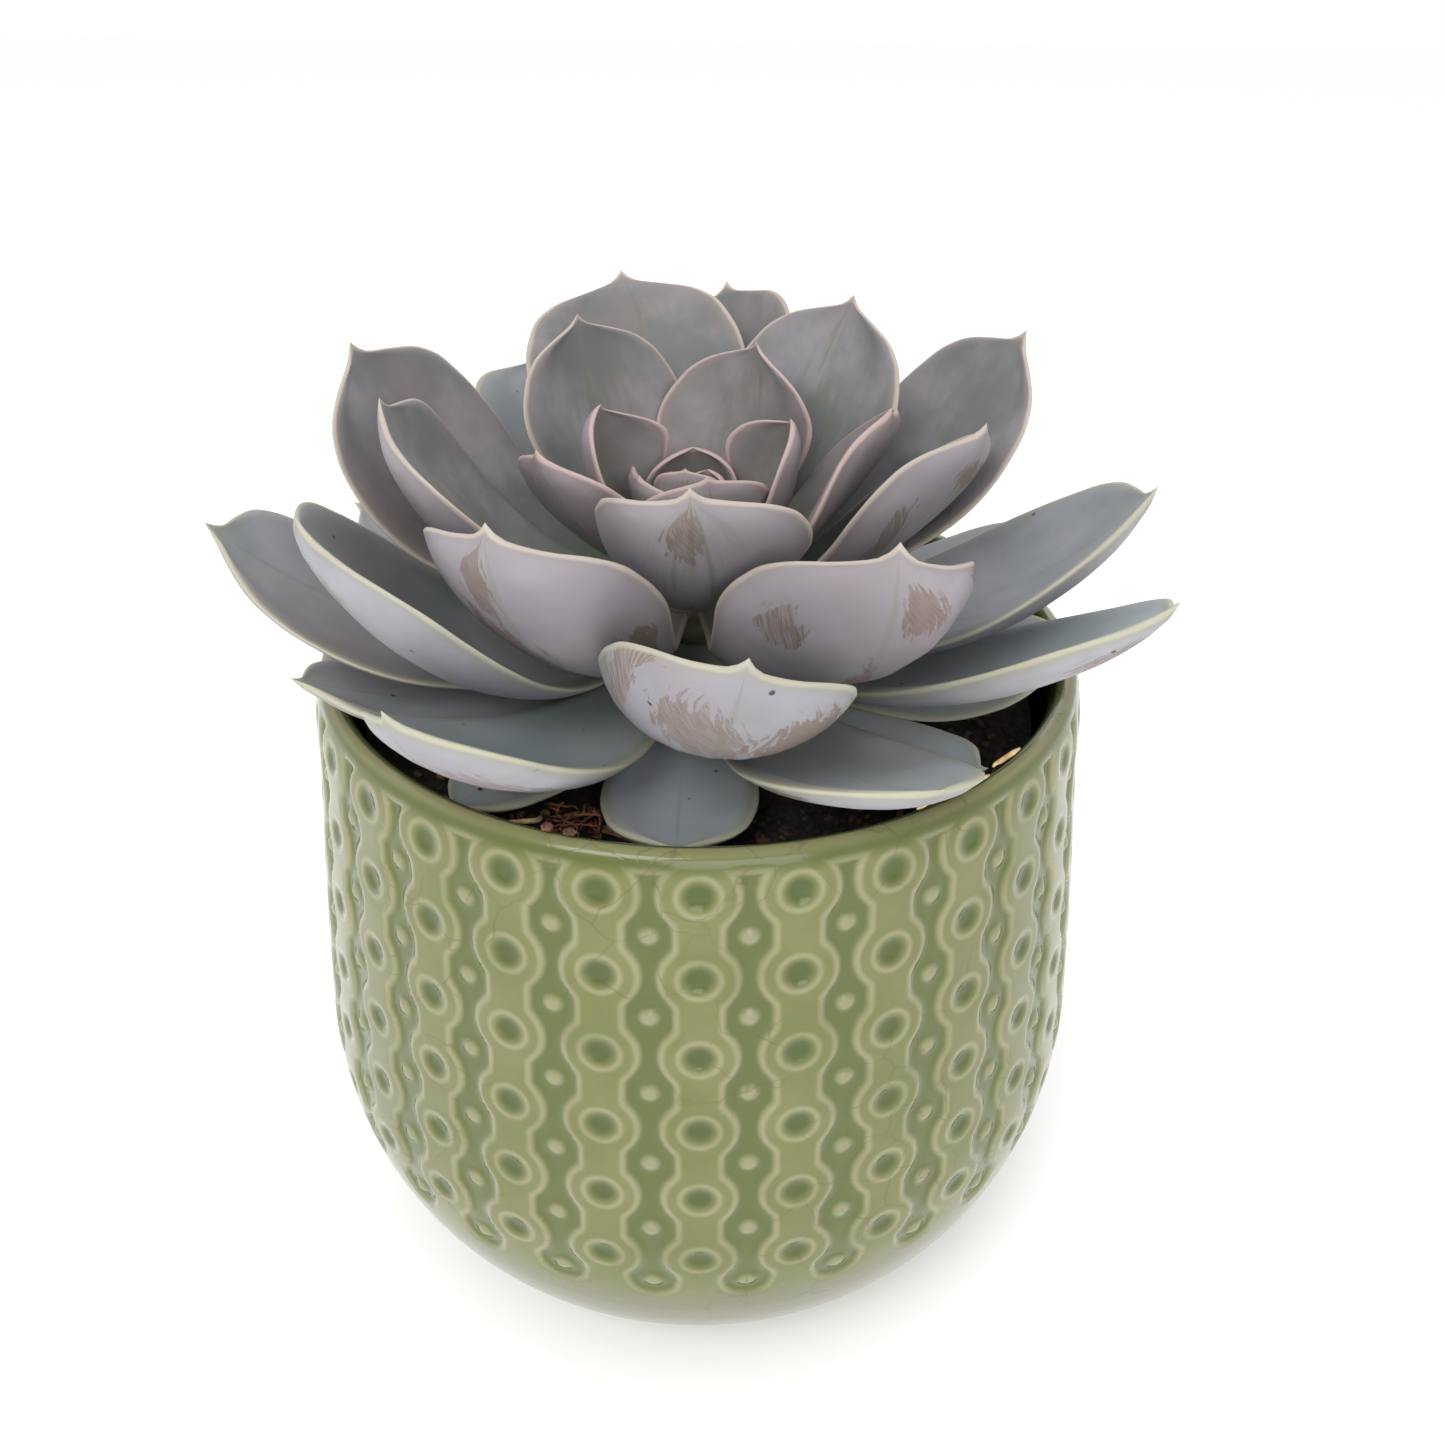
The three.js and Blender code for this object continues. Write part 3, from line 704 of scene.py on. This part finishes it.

# %% [markdown]
# ## Leaf finish
# The skin is coated with a pale waxy bloom that looks matt and slightly dusty. Upper skins are
# blue-grey with green under the bloom, undersides are lilac-grey, and young leaves are warmer.
# The upper skins of the young and middle leaves are darkened as painted shade, and those of the
# low outer leaves are lightened as painted light.
# Every margin is a rounded pale band. Where the bloom has been rubbed off, brown-mauve skin
# shows through in brushed patches. The places stored on the points steer all of these.

# %% Shared leaf effects
def margin_group():
    """Masks from the distance to the margin: Band on the edge and Blush just inside it."""
    tree, given, out = new_group("leaf_margin", {
        "Band mm": ("NodeSocketFloat", 0.8), "Blush mm": ("NodeSocketFloat", 3.2)},
        {"Band": "NodeSocketFloat", "Blush": "NodeSocketFloat"})
    place = object_place(tree)
    wobble = calc(tree, "MULTIPLY_ADD", clouds(tree, 160, 2, 0.5, place), 0.8, -0.4)
    gap = calc(tree, "ADD", attribute(tree, "from_margin")["Fac"], wobble)
    outer = calc(tree, "MULTIPLY", given["Band mm"], 1.5)
    wire(tree, ramp(tree, gap, calc(tree, "MULTIPLY", given["Band mm"], 0.5), outer, 1, 0),
         out["Band"])
    wire(tree, ramp(tree, gap, given["Band mm"], given["Blush mm"], 1, 0), out["Blush"])
    return tree


def rub_group():
    """A brushed patch at a place on the leaf, in shares of its length and width."""
    tree, given, out = new_group("rubbed_patch", {
        "Along": ("NodeSocketFloat", 0.6), "Across": ("NodeSocketFloat", 0.5),
        "Length": ("NodeSocketFloat", 0.1), "Width": ("NodeSocketFloat", 0.2),
        "Slant": ("NodeSocketFloat", 0.0), "Streak": ("NodeSocketFloat", 0.5),
        "Seed": ("NodeSocketFloat", 0.0)}, {"Patch": "NodeSocketFloat"})
    split = tree.nodes.new("ShaderNodeSeparateColor")
    wire(tree, attribute(tree, "leaf_map")["Color"], split.inputs[0])
    down = calc(tree, "SUBTRACT", split.outputs[0], given["Along"])
    side = calc(tree, "SUBTRACT", split.outputs[1], given["Across"])
    side = calc(tree, "ADD", side, calc(tree, "MULTIPLY", down, given["Slant"]))
    join = tree.nodes.new("ShaderNodeCombineXYZ")
    wire(tree, calc(tree, "MULTIPLY", down, 14.0), join.inputs[0])
    wire(tree, calc(tree, "MULTIPLY", side, 34.0), join.inputs[1])
    wire(tree, given["Seed"], join.inputs[2])
    ragged = clouds(tree, 1.0, 4, 0.65, join.outputs[0], 0.4)
    hatch = tree.nodes.new("ShaderNodeCombineXYZ")
    wire(tree, calc(tree, "MULTIPLY", calc(tree, "ADD", down, side), 160.0), hatch.inputs[0])
    wire(tree, calc(tree, "MULTIPLY", calc(tree, "SUBTRACT", down, side), 10.0), hatch.inputs[1])
    wire(tree, given["Seed"], hatch.inputs[2])
    brushed = clouds(tree, 1.0, 2, 0.5, hatch.outputs[0])
    length = calc(tree, "DIVIDE", down, given["Length"])
    width = calc(tree, "DIVIDE", side, given["Width"])
    reach = calc(tree, "SQRT", calc(tree, "ADD", calc(tree, "MULTIPLY", length, length),
                                    calc(tree, "MULTIPLY", width, width)))
    worn = calc(tree, "ADD", calc(tree, "SUBTRACT", 1.0, reach),
                calc(tree, "MULTIPLY_ADD", ragged, 2.4, -1.25))
    solid = ramp(tree, worn, -0.04, 0.12)
    fine = calc(tree, "MULTIPLY_ADD", ramp(tree, brushed, 0.42, 0.58), given["Streak"],
                calc(tree, "SUBTRACT", 1.0, given["Streak"]))
    wire(tree, calc(tree, "MULTIPLY", calc(tree, "MULTIPLY", solid, fine), split.outputs[2]),
         out["Patch"])
    return tree


leaf_margin = margin_group()
rubbed_patch = rub_group()
print("shared leaf effects:", leaf_margin.name, rubbed_patch.name)

# %% Leaf material
LEAF_TONES_AND_PAINTED_LIGHT = {
    # The upper skins of the young and middle leaves hold painted shade, and those of the low leaves
    # painted light; the other colours are the leaves' own.
    # upper skin, under skin, margin, blush inside the margin
    "low": ((0.29, 0.335, 0.345), (0.29, 0.285, 0.31), (0.40, 0.385, 0.29), (0.27, 0.275, 0.19)),
    "outer": ((0.215, 0.24, 0.25), (0.27, 0.265, 0.29), (0.40, 0.375, 0.30), (0.27, 0.26, 0.20)),
    "middle": ((0.135, 0.142, 0.142), (0.255, 0.235, 0.255), (0.44, 0.38, 0.33), (0.25, 0.21, 0.20)),
    "young": ((0.15, 0.142, 0.135), (0.23, 0.20, 0.212), (0.45, 0.34, 0.32), (0.24, 0.175, 0.175)),
}
ROOT_GREEN = (0.16, 0.20, 0.13)
RUBBED_SKIN = (0.165, 0.115, 0.085)


def leaf_material(name, tone, seed, rubs=(), specks=0.0, streaks=0.0, rub_colour=RUBBED_SKIN):
    """One leaf's finish. Rubs are patches: along, across, length, width, slant, streak."""
    upper, under, margin, blush = LEAF_TONES_AND_PAINTED_LIGHT[tone]
    material, tree, shader = new_material(name, 0.58)
    shader.inputs["Specular IOR Level"].default_value = 0.35
    shader.inputs["Subsurface Weight"].default_value = 0.12
    shader.inputs["Subsurface Radius"].default_value = (0.6, 0.8, 0.4)
    shader.inputs["Subsurface Scale"].default_value = 1.5 * MM
    place = object_place(tree)
    split = tree.nodes.new("ShaderNodeSeparateColor")
    wire(tree, attribute(tree, "leaf_map")["Color"], split.inputs[0])
    along, across, lower = split.outputs[0], split.outputs[1], split.outputs[2]
    bloom = clouds(tree, 45 + seed % 7, 4, 0.6, place)
    dust = clouds(tree, 900, 3, 0.7, place)
    colour = blend(tree, lower, upper, under)
    bloomed = blend(tree, 0.5, colour, tuple(min(1, 1.5 * part) for part in under))
    colour = blend(tree, ramp(tree, bloom, 0.38, 0.72), colour, bloomed)
    rosy = blend(tree, 0.5, colour, (0.24, 0.17, 0.175))
    colour = blend(tree, ramp(tree, clouds(tree, 28, 3, 0.5, place), 0.5, 0.75), colour, rosy)
    root = calc(tree, "MULTIPLY", ramp(tree, along, 0.1, 0.55, 0.5, 0.0),
                calc(tree, "SUBTRACT", 1.0, lower))
    colour = blend(tree, root, colour, ROOT_GREEN)
    if streaks:
        spine = tree.nodes.new("ShaderNodeCombineXYZ")
        wire(tree, calc(tree, "MULTIPLY", across, 26.0), spine.inputs[0])
        wire(tree, calc(tree, "MULTIPLY", along, 2.6), spine.inputs[1])
        spine.inputs[2].default_value = seed
        grain = ramp(tree, clouds(tree, 1.0, 2, 0.5, spine.outputs[0]), 0.48, 0.68)
        from_middle = calc(tree, "ABSOLUTE", calc(tree, "SUBTRACT", across, 0.5))
        middle = ramp(tree, from_middle, 0.05, 0.3, 1, 0)
        wash = calc(tree, "MULTIPLY", calc(tree, "MULTIPLY", grain, middle), streaks)
        colour = blend(tree, wash, colour, (0.13, 0.15, 0.085))
    keel = calc(tree, "ABSOLUTE", calc(tree, "SUBTRACT", across, 0.5))
    keel = calc(tree, "MULTIPLY", ramp(tree, keel, 0.004, 0.02, 1, 0), ramp(tree, along, 0.45, 0.9))
    colour = blend(tree, calc(tree, "MULTIPLY", keel, 0.3), colour, (0.16, 0.18, 0.10))
    edge = place_group(tree, leaf_margin)
    colour = blend(tree, calc(tree, "MULTIPLY", edge["Blush"], 0.55), colour, blush)
    for number, (rub_along, rub_across, length, width, slant, streak) in enumerate(rubs):
        patch = place_group(tree, rubbed_patch, Along=rub_along, Across=rub_across, Length=length,
                            Width=width, Slant=slant, Streak=streak, Seed=seed + 3.7 * number)
        colour = blend(tree, calc(tree, "MULTIPLY", patch["Patch"], 0.85), colour, rub_colour)
    colour = blend(tree, calc(tree, "MULTIPLY", edge["Band"], 0.85), colour, margin)
    if specks:
        dots = tree.nodes.new("ShaderNodeTexVoronoi")
        wire(tree, place, dots.inputs["Vector"])
        dots.inputs["Scale"].default_value = 170
        dot = ramp(tree, dots.outputs["Distance"], 0.05, 0.09, 1, 0)
        rare = ramp(tree, clouds(tree, 120, 1, 0.5, place), 0.55, 0.6)
        colour = blend(tree, calc(tree, "MULTIPLY", calc(tree, "MULTIPLY", dot, rare), specks),
                       colour, (0.02, 0.016, 0.012))
    wire(tree, colour, shader.inputs["Base Color"])
    wire(tree, ramp(tree, bloom, 0.3, 0.8, 0.5, 0.68), shader.inputs["Roughness"])
    height = calc(tree, "MULTIPLY_ADD", dust, 0.12, bloom)
    wire(tree, bump(tree, height, 0.25 * MM, 0.3), shader.inputs["Normal"])
    return material

# %% [markdown]
# ## Which leaf wears what
# The leaves are numbered from the heart outwards. The first dozen are young and pink-edged,
# the next are middle-aged, and the last are the low outer ones with yellow-green margins. A
# few of the front leaves have been handled, and their undersides show rubbed patches.

# %% Rubbed patches by leaf
RUBS = {
    # along, across, length, width, slant, streak
    13: [(0.86, 0.46, 0.10, 0.10, 0.2, 0.6)],
    17: [(0.84, 0.5, 0.05, 0.12, 0, 0.4), (0.6, 0.25, 0.14, 0.07, 0.3, 0.6)],
    19: [(0.84, 0.62, 0.07, 0.10, 0, 0.3), (0.72, 0.2, 0.07, 0.08, 0, 0.7),
         (0.55, 0.52, 0.14, 0.05, 0.2, 0.5), (0.8, 0.95, 0.08, 0.06, 0, 0.4)],
    20: [(0.86, 0.40, 0.12, 0.07, 0.3, 0.4), (0.62, 0.42, 0.12, 0.12, 0.5, 0.5),
         (0.55, 0.85, 0.1, 0.07, 0.1, 0.2)],
    21: [(0.8, 0.85, 0.12, 0.1, 0, 0.5)],
    24: [(0.6, 0.45, 0.07, 0.16, 0.4, 0.1), (0.66, 0.2, 0.07, 0.14, 0, 0.2),
         (0.85, 0.35, 0.06, 0.3, 0, 0.9)],
    29: [(0.74, 0.42, 0.14, 0.17, 0.6, 0.55), (0.72, 0.76, 0.12, 0.17, -0.3, 0.12),
         (0.74, 0.1, 0.16, 0.07, 0.4, 0.75)],
    33: [(0.72, 0.55, 0.14, 0.28, 0.2, 0.45), (0.55, 0.45, 0.06, 0.12, 0, 0.2)],
    34: [(0.86, 0.4, 0.07, 0.2, 0, 0.7), (0.72, 0.45, 0.05, 0.12, 0, 0.8)],
    36: [(0.7, 0.12, 0.08, 0.07, 0, 0.3)],
}
LAST_OF_TIER = {"young": 12, "middle": 23, "outer": 32}
LAST_STREAKED = 18
RUB_TONES = {29: (0.19, 0.13, 0.10), 33: (0.24, 0.165, 0.165), 24: (0.17, 0.115, 0.09)}

leaf_names = sorted(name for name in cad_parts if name.startswith("leaf_"))
for number, node in enumerate(leaf_names, start=1):
    tone = next((name for name, last in LAST_OF_TIER.items() if number <= last), "low")
    finish = leaf_material(node + "_skin", tone, number, RUBS.get(number, ()),
                           specks=0.9 if tone in ("outer", "low") else 0.0,
                           streaks=0.5 if number <= LAST_STREAKED else 0.0,
                           rub_colour=RUB_TONES.get(number, RUBBED_SKIN))
    slot = "inner_leaf" if tone == "young" else "outer_leaf"
    finish_piece(node + "_flesh", draw_leaf(node), finish, slot, node)
print("leaves drawn:", len(leaf_names))

# %% [markdown]
# ## Stem
# Only glimpses of the stem show between the leaves, so its solid stays as it is. It gets a dull
# green skin with faint rings where old leaves have dropped off.

# %% Stem finish
stem_skin, tree, shader = new_material("stem_skin", 0.7)
place = object_place(tree)
scars = tree.nodes.new("ShaderNodeTexWave")
scars.bands_direction = "Z"
wire(tree, place, scars.inputs["Vector"])
scars.inputs["Scale"].default_value = 90
scars.inputs["Distortion"].default_value = 3
wire(tree, blend(tree, scars.outputs["Fac"], (0.16, 0.18, 0.09), (0.24, 0.23, 0.14)),
     shader.inputs["Base Color"])
wire(tree, bump(tree, scars.outputs["Fac"], 0.3 * MM, 0.5), shader.inputs["Normal"])
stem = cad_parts["stem"]
stem.data.materials.clear()
stem.data.materials.append(stem_skin)

# %% [markdown]
# ## Potting soil
# The soil shows as a dark crescent inside the rim. Its top is a disc whose points are raised
# and lowered by layered noise into clods, within the height of the soil's solid. Loose crumbs
# are scattered over it as one piece, because each has only a few faces.

# %% Soil plug
SOIL_HIGH = Vector(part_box("potting_soil")[1])
SOIL_GAP_FROM_CREST = 4.2 * MM
SOIL_RADIUS = outline[rim_step][0] - SOIL_GAP_FROM_CREST
SOIL_DRAWN_DEPTH = 30 * MM
SOIL_RINGS = 70
SOIL_TURNS = 260
CLOD_DEPTH = 2.2 * MM


def soil_material():
    material, tree, shader = new_material("dark_potting_soil", 0.92)
    place = object_place(tree)
    grain = clouds(tree, 700, 5, 0.75, place)
    lumps = clouds(tree, 170, 4, 0.6, place)
    colour = blend(tree, ramp(tree, grain, 0.42, 0.66), (0.006, 0.004, 0.003), (0.035, 0.022, 0.014))
    colour = blend(tree, ramp(tree, lumps, 0.58, 0.7), colour, (0.06, 0.034, 0.018))
    wire(tree, colour, shader.inputs["Base Color"])
    wire(tree, bump(tree, grain, 0.8 * MM, 0.9), shader.inputs["Normal"])
    return material


dark_soil = soil_material()


def clod_height(x, y):
    """How far the soil's top lies below its highest level. Less than nothing means level."""
    spot = Vector((x, y, 0)) / MM
    coarse = noise.noise(spot * 0.16)
    middle = noise.noise(spot * 0.45 + Vector((7, 3, 1)))
    fine = noise.noise(spot * 1.3 + Vector((2, 9, 4)))
    return CLOD_DEPTH * (0.5 - 0.28 * coarse - 0.22 * middle - 0.16 * fine)


def soil_plug():
    plug = bmesh.new()
    base = SOIL_HIGH.z - SOIL_DRAWN_DEPTH
    profile = [(0, base), (SOIL_RADIUS, base)]
    profile += [(SOIL_RADIUS * (1 - i / SOIL_RINGS), SOIL_HIGH.z) for i in range(SOIL_RINGS + 1)]
    corners = [plug.verts.new((radius, 0, height)) for radius, height in profile]
    edges = [plug.edges.new(pair) for pair in zip(corners, corners[1:])]
    bmesh.ops.spin(plug, geom=corners + edges, cent=(0, 0, 0), axis=(0, 0, 1),
                   angle=math.tau, steps=SOIL_TURNS, use_merge=True)
    bmesh.ops.remove_doubles(plug, verts=plug.verts, dist=0.01 * MM)
    for corner in plug.verts:
        if corner.co.z > SOIL_HIGH.z - MM:
            corner.co.z -= max(0.0, clod_height(corner.co.x, corner.co.y))
    return plug


finish_piece("soil_top", soil_plug(), dark_soil, "soil", "potting_soil")
print("soil reaches", SOIL_HIGH.z)

# %% Loose crumbs
CRUMBS = 900
CRUMB_SIZES_MM = (0.35, 1.0)
CRUMB_RING = (0.45, 0.94)  # shares of the soil's area, from its middle


def scatter_crumbs(count, seed):
    """Many small faceted crumbs lying on the soil near the rim."""
    chance = random.Random(seed)
    heap = bmesh.new()
    for _ in range(count):
        radius = SOIL_RADIUS * math.sqrt(chance.uniform(*CRUMB_RING))
        heading = chance.uniform(0, math.tau)
        x, y = radius * math.cos(heading), radius * math.sin(heading)
        size = chance.uniform(*CRUMB_SIZES_MM) * MM
        made = bmesh.ops.create_icosphere(heap, subdivisions=1, radius=size)
        stretch = Vector((chance.uniform(0.6, 1.5), chance.uniform(0.6, 1.2), chance.uniform(0.4, 0.9)))
        turn = Matrix.Rotation(chance.uniform(0, math.tau), 4, "Z")
        level = SOIL_HIGH.z - max(0.0, clod_height(x, y)) + 0.25 * size
        bmesh.ops.scale(heap, vec=stretch, verts=made["verts"])
        bmesh.ops.rotate(heap, cent=(0, 0, 0), matrix=turn.to_3x3(), verts=made["verts"])
        bmesh.ops.translate(heap, vec=(x, y, level), verts=made["verts"])
    return heap


def crumb_material():
    material, tree, shader = new_material("soil_crumbs", 0.9)
    place = object_place(tree)
    kind = clouds(tree, 260, 2, 0.5, place)
    colour = blend(tree, ramp(tree, kind, 0.4, 0.6), (0.010, 0.006, 0.004), (0.07, 0.035, 0.018))
    colour = blend(tree, ramp(tree, kind, 0.64, 0.7), colour, (0.16, 0.09, 0.045))
    wire(tree, colour, shader.inputs["Base Color"])
    return material


finish_piece("loose_crumbs", scatter_crumbs(CRUMBS, seed=5), crumb_material(), "soil",
             smooth=False)
print("loose crumbs:", CRUMBS)

# %% [markdown]
# ## Coir, bark and straw
# A tuft of reddish coir, slivers of bark and dry straws lie among the crumbs, and two crumbs
# and a straw lie on the rim. Fibres are thin tubes along wandering curves. Lumps start as
# spheres whose points are pushed about by noise, so that they look broken and not moulded.

# %% Dry plant finish
def dry_material(name, dark, light, grain_scale, roughness=0.8):
    material, tree, shader = new_material(name, roughness)
    place = object_place(tree)
    grain = clouds(tree, grain_scale, 4, 0.65, place)
    colour = blend(tree, ramp(tree, grain, 0.35, 0.65), dark, light)
    wire(tree, colour, shader.inputs["Base Color"])
    wire(tree, bump(tree, grain, 0.2 * MM, 0.6), shader.inputs["Normal"])
    return material


coir_fibre = dry_material("coir_fibre", (0.07, 0.024, 0.010), (0.26, 0.10, 0.042), 900)
bark_wood = dry_material("bark_wood", (0.10, 0.05, 0.024), (0.34, 0.20, 0.11), 700)
rim_crumb = dry_material("rim_crumb", (0.03, 0.012, 0.006), (0.17, 0.07, 0.03), 1500)
golden_straw = dry_material("golden_straw", (0.36, 0.22, 0.07), (0.66, 0.50, 0.26), 500, 0.55)


def tube_along(work, path, radius, sides=6, taper=0.35):
    """Adds a thin closed tube that follows a list of points and narrows to both ends."""
    last = len(path) - 1
    loops = []
    for i, spot in enumerate(path):
        ahead = (path[min(i + 1, last)] - path[max(i - 1, 0)]).normalized()
        end_share = min(i, last - i) / max(1, last / 2)
        thick = radius * (taper + (1 - taper) * min(1.0, 2 * end_share))
        made = bmesh.ops.create_circle(work, segments=sides, radius=thick, cap_ends=i in (0, last))
        bmesh.ops.rotate(work, cent=(0, 0, 0), verts=made["verts"],
                         matrix=Vector((0, 0, 1)).rotation_difference(ahead).to_matrix())
        bmesh.ops.translate(work, vec=spot, verts=made["verts"])
        loops.append({edge for vertex in made["verts"] for edge in vertex.link_edges})
    for low, high in zip(loops, loops[1:]):
        bmesh.ops.bridge_loops(work, edges=list(low | high))


# %% Straws
def straw_path(node):
    """The straw's middle line, from the middles of its solid's sections along its length."""
    solid = merged_copy(node)
    spots = [v.co.copy() for v in solid.verts]
    solid.free()
    first = max(spots, key=lambda spot: max((spot - other).length for other in spots))
    spots.sort(key=lambda spot: (spot - first).length)
    count = len(spots) // 6
    return [sum(spots[6 * i:6 * i + 6], Vector()) / 6 for i in range(count)]


for node in ("straw_over_rim", "straw_beside_rim", "straw_on_soil"):
    stalk = bmesh.new()
    tube_along(stalk, straw_path(node), 0.4 * MM)
    bmesh.ops.subdivide_edges(stalk, edges=stalk.edges, cuts=1, use_grid_fill=True, smooth=0.4)
    finish_piece(node + "_stalk", stalk, golden_straw, "straw", node)


# %% Coir tuft, lumps, chips and crumbs on the rim
def fibre_tuft(node, count, seed):
    """Curled fibres that fill the box of a solid."""
    low, high = (Vector(corner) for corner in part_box(node))
    middle, half = (low + high) / 2, (high - low) / 2
    chance = random.Random(seed)
    tuft = bmesh.new()
    for _ in range(count):
        path, heading = [], Vector((chance.uniform(-1, 1), chance.uniform(-1, 1), 0))
        spot = Vector([chance.uniform(-0.7, 0.7) for _ in range(3)])
        for _ in range(7):
            path.append(middle + Vector([part * size for part, size in zip(spot, half)]))
            heading += Vector([chance.uniform(-0.6, 0.6) for _ in range(3)])
            spot = spot + heading.normalized() * 0.3
            spot = Vector([min(0.92, max(-0.92, part)) for part in spot])
        tube_along(tuft, path, chance.uniform(0.1, 0.22) * MM, sides=5)
    return tuft


def broken_lump(node, seed):
    """A rough lump that fills the box of a solid."""
    low, high = (Vector(corner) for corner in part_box(node))
    lump = bmesh.new()
    bmesh.ops.create_icosphere(lump, subdivisions=3, radius=1)
    for corner in lump.verts:
        push = 0.86 + 0.24 * noise.noise(corner.co * 2.1 + Vector((seed, 0, 0)))
        push += 0.1 * noise.noise(corner.co * 5 + Vector((0, seed, 0)))
        corner.co *= min(1.0, push)
    bmesh.ops.scale(lump, vec=(high - low) / 2, verts=lump.verts)
    bmesh.ops.translate(lump, vec=(low + high) / 2, verts=lump.verts)
    return lump


def rough_chip(node, seed):
    """A sliver of bark: its solid, with softened edges and a splintered surface."""
    chip = merged_copy(node)
    bmesh.ops.bevel(chip, geom=chip.edges, offset=0.15 * MM, affect="EDGES", segments=1,
                    profile=0.5, material=-1)
    bmesh.ops.subdivide_edges(chip, edges=chip.edges, cuts=2, use_grid_fill=True)
    for corner in chip.verts:
        corner.co.z += 0.15 * MM * noise.noise(corner.co / MM * 1.7 + Vector((seed, 0, 0)))
    return chip


finish_piece("coir_fibres", fibre_tuft("coir_tuft", 46, 3), coir_fibre, "coir", "coir_tuft")
finish_piece("bark_lump_rough", broken_lump("bark_lump", 4), bark_wood, "bark", "bark_lump")
for number, node in enumerate(("crumb_on_rim_1", "crumb_on_rim_2")):
    finish_piece(node + "_rough", broken_lump(node, 7 + number), rim_crumb, "coir", node)
for number, node in enumerate(("bark_chip_1", "bark_chip_2")):
    finish_piece(node + "_rough", rough_chip(node, number), bark_wood, "bark", node, smooth=False)
print("litter made")

# %% [markdown]
# ## Floor and light
# A plain pale floor and a pale surrounding light give the clean studio look. One large soft
# panel from the upper left front shapes the leaves and puts the long highlight on the rim, a
# low one in front reaches in under the leaves, and one behind lifts the rosette's far edge.

# %% Floor
FLOOR_HALF_WIDTH = 4
FLOOR_DROP = 0.2 * MM
floor_mesh = bmesh.new()
bmesh.ops.create_grid(floor_mesh, x_segments=1, y_segments=1, size=FLOOR_HALF_WIDTH)
mesh = bpy.data.meshes.new("floor")
floor_mesh.to_mesh(mesh)
floor_mesh.free()
floor = bpy.data.objects.new("floor", mesh)
bpy.context.scene.collection.objects.link(floor)
pale_floor, tree, shader = new_material("pale_floor", 0.9)
shader.inputs["Base Color"].default_value = (0.99, 0.99, 0.99, 1)
shader.inputs["Specular IOR Level"].default_value = 0.1
mesh.materials.append(pale_floor)
floor.location.z = -FLOOR_DROP
print("floor lies", FLOOR_DROP, "below the foot")

# %% Lights
LIGHT_TARGET = Vector((0, 0, 0.1))


def soft_panel(name, place, width, power):
    """A square light that faces the middle of the plant."""
    light = bpy.data.lights.new(name, "AREA")
    light.size = width
    light.energy = power
    lamp = bpy.data.objects.new(name, light)
    lamp.location = place
    aim = LIGHT_TARGET - Vector(place)
    lamp.rotation_euler = aim.to_track_quat("-Z", "Y").to_euler()
    bpy.context.scene.collection.objects.link(lamp)


soft_panel("key_panel", (-0.3, -0.6, 0.8), 0.45, 3.6)
soft_panel("front_panel", (0.15, -0.9, 0.4), 0.6, 3.2)
soft_panel("back_panel", (0.1, 0.8, 0.8), 0.8, 1.2)

world = bpy.data.worlds.new("studio")
bpy.context.scene.world = world
world.use_nodes = True
surround = world.node_tree.nodes["Background"]
surround.inputs["Color"].default_value = (1, 1, 1, 1)
surround.inputs["Strength"].default_value = 1.0
bpy.context.scene.view_settings.view_transform = "Standard"
print("soft panels: 3, and an even surround")
